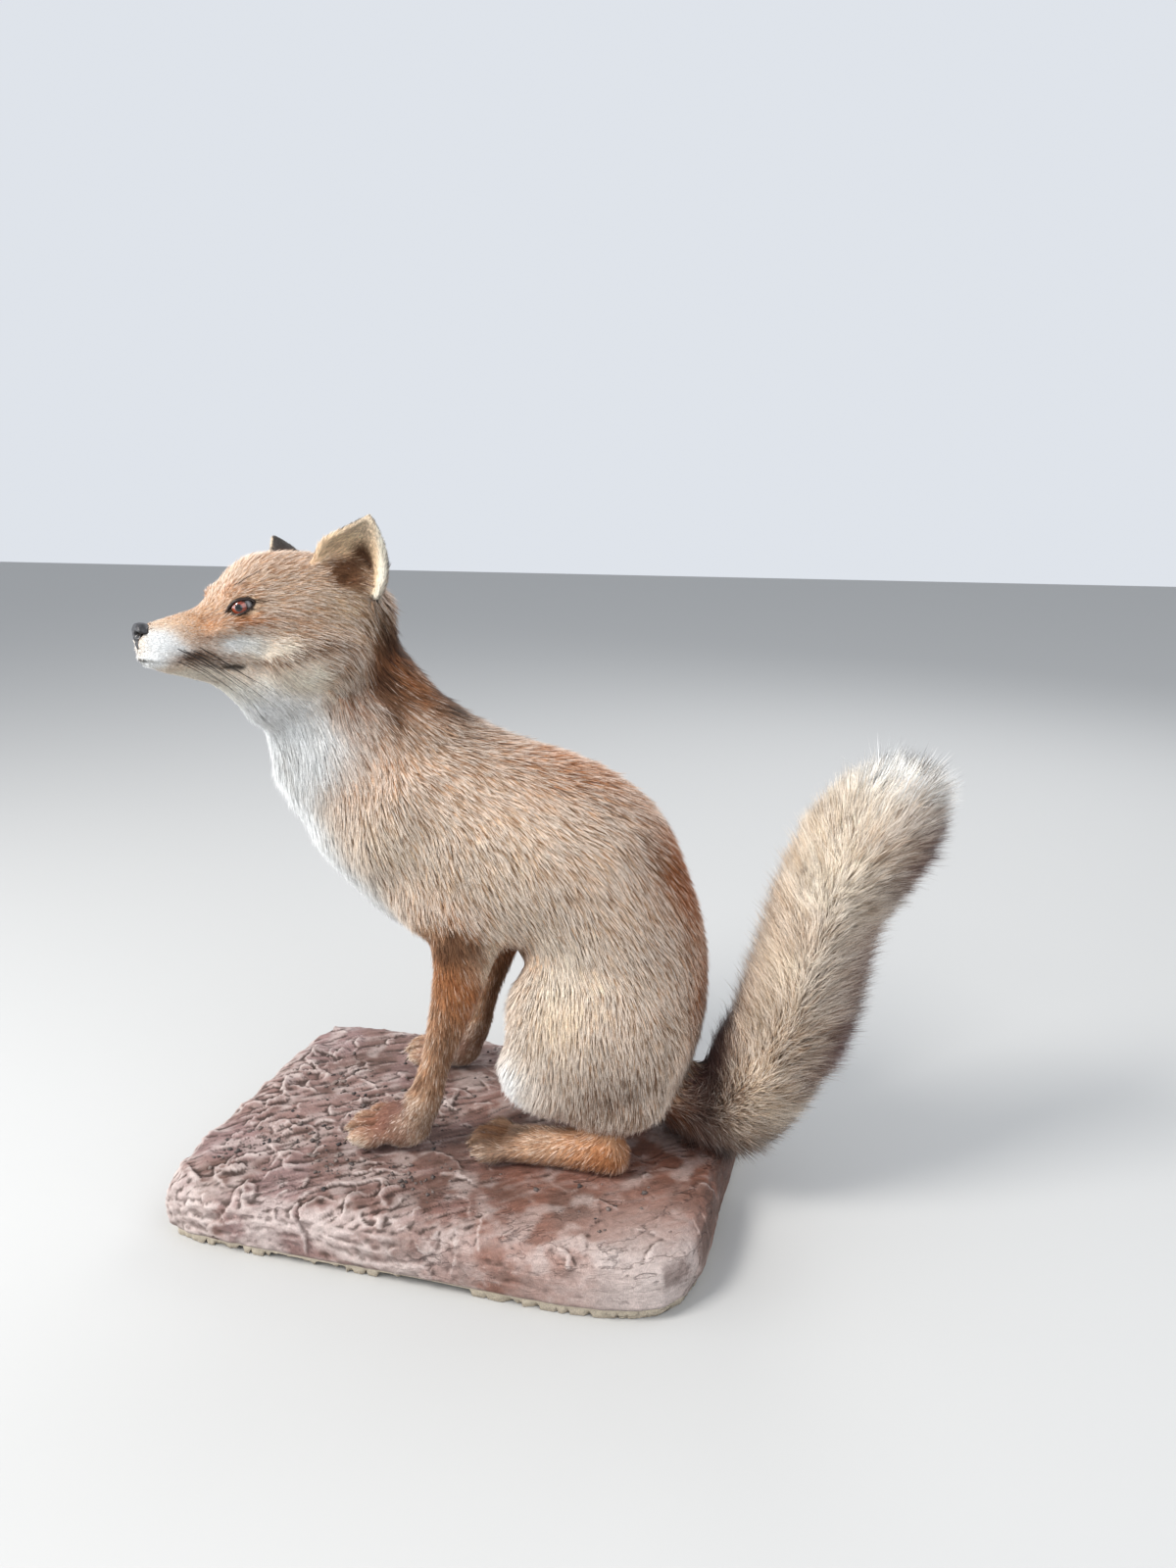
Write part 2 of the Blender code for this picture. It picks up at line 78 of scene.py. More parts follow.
# The head's own frame: +X to the nose, +Y to the fox's left, +Z up
MIDLINE_Y = 0.018
HEAD = (
    Matrix.Translation((-0.0992, MIDLINE_Y, 0.4653))
    @ Matrix.Rotation(math.pi + math.radians(50), 4, "Z")
    @ Matrix.Rotation(math.radians(6), 4, "X")
)
HEAD_TURN, HEAD_PLACE = np.array(HEAD)[:3, :3], np.array(HEAD)[:3, 3]
SIDES = ((1, "left"), (-1, "right"))
FLESH = [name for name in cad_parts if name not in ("base", "nose", "eye_left", "eye_right")]
WHOLE_BODY = FLESH + ["nose", "eye_left", "eye_right"]
SLAB_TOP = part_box("base")[1].z


# Arrays -----------------------------------------------------------------------------------------------

def read(items, name, width=1, kind=np.float32):
    """A property of all those items as an array, with a row of that width for each."""
    values = np.empty(len(items) * width, kind)
    items.foreach_get(name, values)
    return values.reshape(-1, width) if width > 1 else values


def points_of(mesh):
    return read(mesh.vertices, "co", 3).astype(np.float64)


def set_points(mesh, points):
    mesh.vertices.foreach_set("co", points.astype(np.float32).ravel())
    mesh.update()


def normals_of(mesh):
    return read(mesh.vertex_normals, "vector", 3).astype(np.float64)


def triangles_of(mesh):
    mesh.calc_loop_triangles()
    return read(mesh.loop_triangles, "vertices", 3, np.int32)


def unit(vectors):
    return vectors / np.maximum(np.linalg.norm(vectors, axis=-1, keepdims=True), 1e-9)


def dot(a, b):
    return (a * b).sum(axis=-1, keepdims=True)


def to_head(points):
    """Points of the fox's frame in the head's own."""
    back = np.array(HEAD.inverted())
    return points @ back[:3, :3].T + back[:3, 3]


def from_head(points):
    return points @ HEAD_TURN.T + HEAD_PLACE


def directions_to_head(vectors):
    return vectors @ HEAD_TURN


def directions_from_head(vectors):
    return vectors @ HEAD_TURN.T


def folded(points, middle=0.0):
    """The points with one half laid over the other, as distances out from the middle."""
    half = points.copy()
    half[:, 1] = np.abs(points[:, 1] - middle)
    return half


def ramp(values, low, high):
    """0 at low, 1 at high, and smooth between; low may be the greater."""
    t = np.clip((values - low) / (high - low), 0, 1)
    return t * t * (3 - 2 * t)


def bell(points, centre, radii):
    """1 at the centre, falling off smoothly over the radii."""
    return np.exp(-(((points - np.array(centre)) / np.array(radii)) ** 2).sum(axis=1))


def grain(points, size, seed=0):
    """Smooth noise from 0 to 1 in lumps of about that size."""
    place = points / size + 31.7 * (seed + 1)
    cell = np.floor(place).astype(np.int64)
    part = place - cell
    part = part * part * (3 - 2 * part)
    total = np.zeros(len(points))
    for corner in itertools.product((0, 1), repeat=3):
        x, y, z = (cell + np.array(corner)).T
        mixed = (x * 73856093) ^ (y * 19349663) ^ (z * 83492791) ^ (seed * 2654435761)
        mixed = (mixed ^ (mixed >> 13)) * 1274126177
        share = np.prod(np.where(corner, part, 1 - part), axis=1)
        total += share * ((mixed ^ (mixed >> 16)) & 0xFFFF) / 65535.0
    return total


def layered(points, size, seed=0, layers=3):
    """Noise with finer and fainter lumps upon the first."""
    total, strength = np.zeros(len(points)), 0.0
    for k in range(layers):
        total += grain(points, size / 2 ** k, seed + k) / 2 ** k
        strength += 1 / 2 ** k
    return total / strength


def spread(mesh, values, rounds):
    """Values averaged over each vertex and its neighbours, so many times over."""
    count = len(mesh.vertices)
    a, b = read(mesh.edges, "vertices", 2, np.int32).T
    degree = np.bincount(a, minlength=count) + np.bincount(b, minlength=count)
    flat = values.reshape(count, -1).astype(np.float64)
    for _ in range(rounds):
        mean = np.empty_like(flat)
        for k in range(flat.shape[1]):
            mean[:, k] = np.bincount(a, flat[b, k], count) + np.bincount(b, flat[a, k], count)
        flat = 0.5 * flat + 0.5 * mean / np.maximum(degree, 1)[:, None]
    return flat.reshape(values.shape)


def nearest(points, places):
    """The index of the point nearest to each place."""
    tree = KDTree(len(points))
    for k, point in enumerate(points.tolist()):
        tree.insert(point, k)
    tree.balance()
    return np.array([tree.find(place)[1] for place in places.tolist()])


def owned(names, *starts):
    """Which vertices belong to the nodes whose names start so."""
    return np.array([name.startswith(starts) for name in names])


def by_node(table, names):
    """The table's number or numbers for each vertex, from the name of the node it belongs to."""
    known = {name: table[name] if name in table else table[name.split("_")[0]] for name in set(names)}
    return np.array([known[name] for name in names])


# Meshes -----------------------------------------------------------------------------------------------

def select_only(*objects):
    bpy.ops.object.select_all(action="DESELECT")
    for obj in objects:
        obj.select_set(True)
    bpy.context.view_layer.objects.active = objects[-1]


def apply_modifiers(obj):
    select_only(obj)
    for modifier in list(obj.modifiers):
        bpy.ops.object.modifier_apply(modifier=modifier.name)


def new_object(name, mesh):
    obj = bpy.data.objects.new(name, mesh)
    bpy.context.scene.collection.objects.link(obj)
    return obj


def mesh_from(name, points, triangles):
    mesh = bpy.data.meshes.new(name)
    mesh.vertices.add(len(points))
    mesh.vertices.foreach_set("co", points.astype(np.float32).ravel())
    mesh.loops.add(triangles.size)
    mesh.loops.foreach_set("vertex_index", triangles.astype(np.int32).ravel())
    mesh.polygons.add(len(triangles))
    mesh.polygons.foreach_set("loop_start", np.arange(0, triangles.size, 3, dtype=np.int32))
    mesh.update(calc_edges=True)
    return mesh


def swollen_copy(names, swell):
    """Copies of those nodes in one mesh, each a little swollen so that neighbours overlap."""
    whole = bmesh.new()
    for name in names:
        part = bmesh.new()
        part.from_mesh(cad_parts[name].data)
        bmesh.ops.remove_doubles(part, verts=part.verts, dist=1e-6)
        part.normal_update()
        for vert in part.verts:
            vert.co += vert.normal * swell
        mesh = bpy.data.meshes.new(name)
        part.to_mesh(mesh)
        part.free()
        whole.from_mesh(mesh)
        bpy.data.meshes.remove(mesh)
    mesh = bpy.data.meshes.new("skin")
    whole.to_mesh(mesh)
    whole.free()
    return mesh


def remeshed(obj, voxel):
    remesh = obj.modifiers.new("fuse", "REMESH")
    remesh.mode = "VOXEL"
    remesh.voxel_size = voxel
    remesh.use_smooth_shade = True
    apply_modifiers(obj)


def in_edit_mode(obj, operate, wanted=None, **settings):
    """Runs one mesh operator on the wanted vertices of an object, or on all of them."""
    select_only(obj)
    bpy.ops.object.mode_set(mode="EDIT")
    bpy.ops.mesh.select_mode(type="VERT")
    bpy.ops.mesh.select_all(action="SELECT" if wanted is None else "DESELECT")
    if wanted is not None:
        bpy.ops.object.mode_set(mode="OBJECT")
        obj.data.vertices.foreach_set("select", wanted)
        bpy.ops.object.mode_set(mode="EDIT")
    operate(**settings)
    bpy.ops.object.mode_set(mode="OBJECT")


def face_outwards(obj):
    in_edit_mode(obj, bpy.ops.mesh.normals_make_consistent, inside=False)


def primitive(add, **settings):
    """The object that one of the operators for primitives adds."""
    bpy.ops.object.select_all(action="DESELECT")
    add(**settings)
    return bpy.context.object


def shape_of(obj):
    """The points and triangles of a model that is only wanted for them."""
    points, triangles = points_of(obj.data), triangles_of(obj.data)
    bpy.data.objects.remove(obj)
    return points, triangles


def tube_faces(rings, around, closed=False, first=0):
    """Triangles between the rings of a tube, and from the last ring to the first where it closes."""
    faces = []
    for i in range(rings if closed else rings - 1):
        here, there = first + i * around, first + (i + 1) % rings * around
        for k in range(around):
            after = (k + 1) % around
            faces += [(here + k, here + after, there + after), (here + k, there + after, there + k)]
    return faces


def surface_tree(obj):
    return BVHTree.FromPolygons(points_of(obj.data).tolist(), triangles_of(obj.data).tolist())


def owners_of(places):
    """The name of the node of the body whose surface is nearest to each place."""
    points, faces, owners, start = [], [], [], 0
    for name in WHOLE_BODY:
        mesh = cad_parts[name].data
        own, triangles = points_of(mesh), triangles_of(mesh)
        points.append(own)
        faces.append(triangles + start)
        owners += [name] * len(triangles)
        start += len(own)
    tree = BVHTree.FromPolygons(np.concatenate(points).tolist(), np.concatenate(faces).tolist())
    return [owners[tree.find_nearest(place)[2]] for place in places.tolist()]


def set_vertex_colours(mesh, name, colours):
    attribute = mesh.color_attributes.new(name=name, type="FLOAT_COLOR", domain="POINT")
    rgba = np.ones((len(mesh.vertices), 4), np.float32)
    rgba[:, :3] = np.clip(colours, 0, 1)
    attribute.data.foreach_set("color", rgba.ravel())


def vertex_colours(mesh, name):
    return read(mesh.color_attributes[name].data, "color", 4)[:, :3].astype(np.float64)


def store(mesh, name, values):
    """Keeps a number or a vector for each vertex with the mesh."""
    kind, field = ("FLOAT", "value") if values.ndim == 1 else ("FLOAT_VECTOR", "vector")
    attribute = mesh.attributes.new(name=name, type=kind, domain="POINT")
    attribute.data.foreach_set(field, values.astype(np.float32).ravel())


def stored(mesh, name):
    attribute = mesh.attributes[name]
    field, width = ("value", 1) if attribute.data_type == "FLOAT" else ("vector", 3)
    return read(attribute.data, field, width).astype(np.float64)


def finish_piece(obj, material, slot, *replaced):
    obj.data.materials.clear()
    obj.data.materials.append(material)
    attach(obj, "root")
    if replaced:
        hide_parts(*replaced)


# Materials --------------------------------------------------------------------------------------------

class Paint:
    """A material under construction: a node tree with its shader and object coordinates."""

    def __init__(self, name, roughness, specular=0.3):
        self.material = bpy.data.materials.new(name)
        self.material.use_nodes = True
        self.tree = self.material.node_tree
        self.shader = self.tree.nodes["Principled BSDF"]
        self.set("Roughness", roughness)
        self.set("Specular IOR Level", specular)

    def set(self, socket, value):
        self.shader.inputs[socket].default_value = value

    def node(self, kind, **inputs):
        made = self.tree.nodes.new(kind)
        for name, value in inputs.items():
            self.feed(made.inputs[name.replace("_", " ")], value)
        return made

    def feed(self, socket, value):
        if isinstance(value, bpy.types.NodeSocket):
            self.tree.links.new(value, socket)
        else:
            socket.default_value = value

    def place(self):
        return self.node("ShaderNodeTexCoord").outputs["Object"]

    def attribute(self, name):
        made = self.node("ShaderNodeAttribute")
        made.attribute_name = name
        return made.outputs["Color"]

    def noise(self, scale, detail=3.0, roughness=0.5, vector=None):
        return self.node("ShaderNodeTexNoise", Vector=vector or self.place(), Scale=scale, Detail=detail,
                         Roughness=roughness).outputs["Fac"]

    def stretched(self, x, y, z, turn=0.0):
        made = self.node("ShaderNodeMapping", Vector=self.place(), Rotation=(0, 0, math.radians(turn)))
        made.vector_type = "TEXTURE"
        made.inputs["Scale"].default_value = (1 / x, 1 / y, 1 / z)
        return made.outputs["Vector"]

    def fade(self, value, low, high, low_to=0.0, high_to=1.0):
        made = self.node("ShaderNodeMapRange", Value=value)
        for name, number in (("From Min", low), ("From Max", high), ("To Min", low_to), ("To Max", high_to)):
            made.inputs[name].default_value = number
        return made.outputs["Result"]

    def math(self, operation, first, second=0.5):
        made = self.tree.nodes.new("ShaderNodeMath")
        made.operation = operation
        self.feed(made.inputs[0], first)
        self.feed(made.inputs[1], second)
        return made.outputs["Value"]

    def mix(self, share, first, second, blend="MIX"):
        made = self.node("ShaderNodeMix")
        made.data_type = "RGBA"
        made.blend_type = blend
        for socket, value in ((made.inputs[0], share), (made.inputs[6], first), (made.inputs[7], second)):
            if isinstance(value, tuple):
                value = (*value[:3], 1.0)
            self.feed(socket, value)
        return made.outputs[2]

    def colour(self, value):
        self.feed(self.shader.inputs["Base Color"], value)

    def bump(self, height, distance, strength=1.0):
        made = self.node("ShaderNodeBump", Height=height, Distance=distance, Strength=strength)
        self.tree.links.new(made.outputs["Normal"], self.shader.inputs["Normal"])


def hair_paint(name, roughness, sheen):
    """Hair takes its colour from the tufts, with a fine mottle."""
    paint = Paint(name, roughness, 0.25)
    shade = paint.fade(paint.noise(520, 2), 0.3, 0.7, 0.86, 1.12)
    paint.colour(paint.mix(1.0, paint.attribute("coat"), shade, "MULTIPLY"))
    paint.set("Sheen Weight", sheen)
    paint.set("Sheen Roughness", 0.5)
    paint.bump(paint.noise(900, 2), 0.0003, 0.5)
    return paint.material


# The skin's shape -------------------------------------------------------------------------------------

SKIN_VOXEL = 0.0022
SKIN_KEEP = 0.36              # share of the faces that are kept, fewest where the skin is flat
WELD = 0.00045                # swelling that closes the thin cuts between the solids
COAT_DEPTH = {
    "head": 0.0024, "neck": 0.0055, "trunk": 0.0050, "thigh": 0.0050, "foreleg": 0.0026,
    "forepaw": 0.0013, "hindfoot": 0.0016, "ear": 0.0008, "tail_root": 0.0110,
    "tail_middle": 0.0160, "tail_tip": 0.0160, "nose": 0.0034, "eye": 0.0010,
}
SMOOTHING = {
    "head": 4, "nose": 2, "eye": 2, "ear": 2, "neck": 14, "trunk": 14, "thigh": 14, "foreleg": 8,
    "forepaw": 3, "hindfoot": 4, "tail": 14,
}

# Each fold: place on the left of the head, radii, and how far the skin swells there
FACE_FOLDS = (
    ((0.0870, 0.0235, 0.0085), (0.0130, 0.0090, 0.0042), 0.0020),      # brow
    ((0.0850, 0.0310, -0.0140), (0.0150, 0.0080, 0.0042), 0.0014),     # cheekbone, under the eye
    ((0.1030, 0.0190, -0.0065), (0.0090, 0.0060, 0.0050), -0.0016),    # hollow before the eye
    ((0.0620, 0.0400, 0.0060), (0.0120, 0.0090, 0.0090), -0.0014),     # temple
    ((0.1340, 0.0135, -0.0250), (0.0130, 0.0070, 0.0065), 0.0012),     # whisker pad
    ((0.1170, 0.0190, -0.0180), (0.0100, 0.0060, 0.0060), -0.0010),    # hollow behind the pad
    ((0.0830, 0.0000, 0.0270), (0.0200, 0.0040, 0.0080), -0.0012),     # furrow of the forehead
    ((0.0870, 0.0330, -0.0430), (0.0070, 0.0060, 0.0022), -0.0022),    # corner of the mouth
    ((0.1490, 0.0000, -0.0340), (0.0080, 0.0100, 0.0042), 0.0026),     # front of the lips
    ((0.0780, 0.0000, -0.0860), (0.0160, 0.0200, 0.0140), 0.0080),     # throat
    ((0.0140, 0.0480, 0.0160), (0.0115, 0.0120, 0.0095), -0.0090),     # mouth of the ear
)
# The same for the body, by x, distance out from the midline, and z
BODY_FOLDS = (
    ((0.1350, 0.0580, 0.0640), (0.0100, 0.0120, 0.0120), 0.0040),      # heel
)

# Toes: middle of the knuckles (x, out from the midline, height over the slab), spread, lengths, and length
# of the claws
FOREFOOT = ((-0.050, 0.064, 0.0125), 0.0098, (0.026, 0.033, 0.033, 0.026), 0.0115)
HINDFOOT = ((0.046, 0.058, 0.012), 0.0092, (0.023, 0.030, 0.030, 0.023), 0.0095)
RIGHT_SLIP = 0.006            # the right forepaw stands this much further forward
TOE_FAN = 6                   # degrees from one toe to the next

# The opening of the left eye in the head's frame
EYE_CENTRE = np.array((0.0850, 0.0238, -0.0018))
EYE_RADIUS = 0.0086
INNER_CORNER = np.array((0.0954, 0.0220, -0.0051))
OUTER_CORNER = np.array((0.0784, 0.0330, 0.0010))
LID_HEIGHT_UPPER, LID_HEIGHT_LOWER = 0.0050, 0.0043
CORNER_DEPTH = 0.0040         # how far in front of the eye's centre the corners lie


def eye_axes(side):
    """Centre, outer-corner direction, upward and gaze of one eye, and half the opening's length."""
    mirror = np.array((1, side, 1))
    centre, inner, outer = EYE_CENTRE * mirror, INNER_CORNER * mirror, OUTER_CORNER * mirror
    along = unit(outer - inner)
    gaze = unit(unit(inner - centre) + unit(outer - centre))
    gaze = unit(gaze - along * (gaze @ along))
    upward = np.cross(gaze, along) * side
    return centre, along, upward, gaze, np.linalg.norm(outer - inner) / 2


def lid_height(along, half_length, upper):
    """The almond's upper or lower edge; the inner corner is drawn out, the outer one rounder."""
    t = np.clip(along / half_length, -1, 1)
    rise = (1 - t * t) ** np.where(t < 0, 1.15, 0.72)
    skew = 1 + (0.10 if upper else -0.06) * t
    return (LID_HEIGHT_UPPER if upper else LID_HEIGHT_LOWER) * rise * skew


def opened_eye(head_points, side):
    """Moves the skin near one eye: lids that wrap the ball, and an almond opening over it."""
    centre, along, upward, gaze, half = eye_axes(side)
    offset = head_points - centre
    a, b, c = offset @ along, offset @ upward, offset @ gaze
    near = (c > -0.002) & (np.abs(a) < half + 0.008) & (np.abs(b) < 0.014)
    edge = np.where(b > 0, lid_height(a, half, True), lid_height(a, half, False))
    beyond = np.abs(b) - edge                         # negative inside the opening
    reach = np.maximum(np.abs(a) - half, 0)
    beyond = np.where(reach > 0, np.hypot(beyond, reach), beyond)
    ball = np.sqrt(np.maximum((EYE_RADIUS + 0.0010) ** 2 - a * a - b * b, CORNER_DEPTH ** 2))
    lid = 1 - ramp(beyond, 0.0005, 0.0060)
    target = c + (np.maximum(c, ball) - c) * lid * (c > 0.001)
    target += 0.0005 * np.exp(-((beyond - 0.0030) / 0.0014) ** 2) * (b > 0)      # fold over the upper lid
    sunk = 1 - ramp(beyond, -0.0012, 0.0001)
    inside = np.minimum(target, np.sqrt(np.maximum(EYE_RADIUS ** 2 - a * a - b * b, 0.0022 ** 2)) - 0.0022)
    target = target + (inside - target) * sunk
    moved = head_points + gaze * ((target - c) * near)[:, None]
    return moved, np.where(near, beyond, 1.0)


# The ears in the head's frame, by side
EAR_TIPS = {1: (0.006, 0.072, 0.0535), -1: (0.024, -0.072, 0.0495)}
EAR_ROOT = (0.0120, 0.0350, 0.0080)
EAR_OPENING = (0.62, 0.78, -0.10)
EAR_HALF_WIDTH = 0.0258


def ear_axes(side):
    """Directions along the ear, out of its opening and towards its rear edge, its root and its length."""
    root = np.array(EAR_ROOT) * (1, side, 1)
    rise = np.array(EAR_TIPS[side]) - root
    length = np.linalg.norm(rise)
    axis = rise / length
    opening = np.array(EAR_OPENING) * (1, side, 1)
    opening = unit(opening - axis * (opening @ axis))
    return axis, opening, np.cross(axis, opening) * side, root, length


def ear_place(head_points, head_normals, side):
    """Height up the ear, 0 to 1, place from its front edge (-1) to its rear one (1), and how it faces in."""
    axis, opening, rear, root, length = ear_axes(side)
    offset = head_points - root
    height = offset @ axis / length
    half = EAR_HALF_WIDTH * (1 - np.clip(height, 0, 1) ** 1.9) ** 0.72 + 0.0022
    return height, offset @ rear / half, head_normals @ opening


def ear_hollow(height, across):
    """1 in the dark hollow of the ear, falling off around it."""
    return np.exp(-((height - 0.20) / 0.40) ** 2 - ((across - 0.12) / 0.48) ** 2)


# The line of the mouth on the left, from the front of the lip back to the corner: (x, z)
MOUTH_LINE = ((0.1520, -0.0335), (0.1400, -0.0372), (0.1260, -0.0388), (0.1120, -0.0402),
              (0.1000, -0.0424), (0.0870, -0.0437))
# The crease that runs on from the corner of the mouth across the cheek, painted as a dark line of shade
CREASE_X = (0.020, 0.036, 0.052, 0.070, 0.088)
CREASE_Z = (-0.0285, -0.0310, -0.0350, -0.0400, -0.0437)


def mouth_offset(head_points):
    """Height over the line of the mouth, and place along it: 0 in front, 1 at the corner."""
    xs, zs = np.array(MOUTH_LINE).T
    line = np.interp(head_points[:, 0], xs[::-1], zs[::-1])
    return head_points[:, 2] - line, (xs[0] - head_points[:, 0]) / (xs[0] - xs[-1])


def mouth_marks(face):
    """Shares of the dark lips and of the painted shade along the cheek's crease, nearness to the corner, and
    height over the line.
    """
    x, out, z = face.T
    height, along = mouth_offset(face)
    corner = ramp(along, 0.76, 0.88) * (1 - ramp(along, 1.0, 1.08))
    slit = np.exp(-(height / (0.0011 + 0.0013 * corner)) ** 2)
    lip = slit * np.maximum(ramp(along, 0.45, 0.86), 1 - ramp(along, 0.02, 0.10))
    lip *= ramp(along, -0.10, -0.04) * (1 - ramp(along, 1.0, 1.03)) * ramp(x, 0.08, 0.085)
    split = np.exp(-(out / 0.0007) ** 2) * ramp(z, -0.0345, -0.0330)
    lip = np.maximum(lip, split * ramp(z, -0.0190, -0.0205) * ramp(x, 0.148, 0.151))
    crease = np.exp(-((z - np.interp(x, CREASE_X, CREASE_Z)) / 0.0026) ** 2) * ramp(out, 0.02, 0.03)
    crease *= ramp(x, 0.020, 0.034) * (1 - ramp(x, 0.085, 0.088))
    return lip, crease, corner, height


def swelling(points, folds):
    return sum(swell * bell(points, centre, radii) for centre, radii, swell in folds)


def sculpted_face(mesh, names):
    """Makes the folds, lips, lids and openings of the eyes; returns how far each point is beyond those."""
    points = to_head(points_of(mesh))
    normals = directions_to_head(normals_of(mesh))
    face = folded(points)
    rise = swelling(face, FACE_FOLDS)
    rise[(points[:, 1] < 0) & (points[:, 0] < 0.03)] = 0      # the right ear's wall is too thin for a fold
    height, along = mouth_offset(face)
    lip = ramp(along, -0.08, 0.02) * (1 - ramp(along, 1.0, 1.06)) * ramp(face[:, 1], 0.0, 0.003)
    lip *= ramp(face[:, 0], 0.05, 0.07)
    rise -= 0.0016 * np.exp(-(height / 0.0011) ** 2) * lip
    rise += 0.0007 * np.exp(-((height - 0.0026) / 0.0016) ** 2) * lip
    points = points + normals * rise[:, None]
    nose = owned(names, "nose")
    points[nose, 0] -= 0.6 * np.maximum(points[nose, 0] - 0.1500, 0)
    for side, label in SIDES:
        own = owned(names, "ear_" + label)
        _, opening, rear, _, _ = ear_axes(side)
        height, across, inward = ear_place(points[own], normals[own], side)
        hollow = (0.0020 if side > 0 else 0.0004) * ear_hollow(height, across) * ramp(inward, 0.1, 0.5)
        # The front edge runs straight up to a blunt tip that stands towards the rear
        offset = (points[own] - EAR_ROOT * np.array((1, side, 1))) @ rear
        drawn_in = np.where(offset < 0, 0.42, 0.06) * offset * ramp(height, 0.40, 1.0)
        points[own] -= opening * hollow[:, None] + rear * drawn_in[:, None]
    edges = np.ones(len(points))
    for side, _ in SIDES:
        points, beyond = opened_eye(points, side)
        edges = np.minimum(edges, beyond)
    set_points(mesh, from_head(points))
    return edges


def parted_toes(points):
    """1 along the middle of each gap between two toes, falling off to its sides."""
    gap = np.zeros(len(points))
    for side, _ in SIDES:
        for (x, out, _), spacing, lengths, _ in (FOREFOOT, HINDFOOT):
            slip = RIGHT_SLIP if side < 0 and x < 0 else 0.0
            ahead = (x - slip) - points[:, 0]
            for k in (-1, 0, 1):
                fan = math.tan(math.radians(TOE_FAN * k))
                line = MIDLINE_Y - side * out + k * spacing + np.maximum(ahead, 0) * fan
                near = np.exp(-((points[:, 1] - line) / 0.0024) ** 2)
                gap = np.maximum(gap, near * ramp(ahead, 0.004, 0.014) * (ahead < max(lengths) + 0.01))
    return gap * (points[:, 2] < 0.085) * (points[:, 2] > SLAB_TOP)


# Markings ---------------------------------------------------------------------------------------------

COLOURS = {
    "white": (0.84, 0.85, 0.84),
    "cream": (0.83, 0.76, 0.64),
    "pale": (0.72, 0.60, 0.46),
    "sandy": (0.64, 0.475, 0.34),
    "golden": (0.84, 0.64, 0.44),
    "tawny": (0.62, 0.40, 0.26),
    "fox_red": (0.50, 0.235, 0.105),
    "rust": (0.40, 0.165, 0.070),
    "dusky": (0.30, 0.215, 0.165),
    "brown": (0.18, 0.095, 0.052),
    "mauve": (0.23, 0.140, 0.125),
    "soot": (0.030, 0.022, 0.018),
}

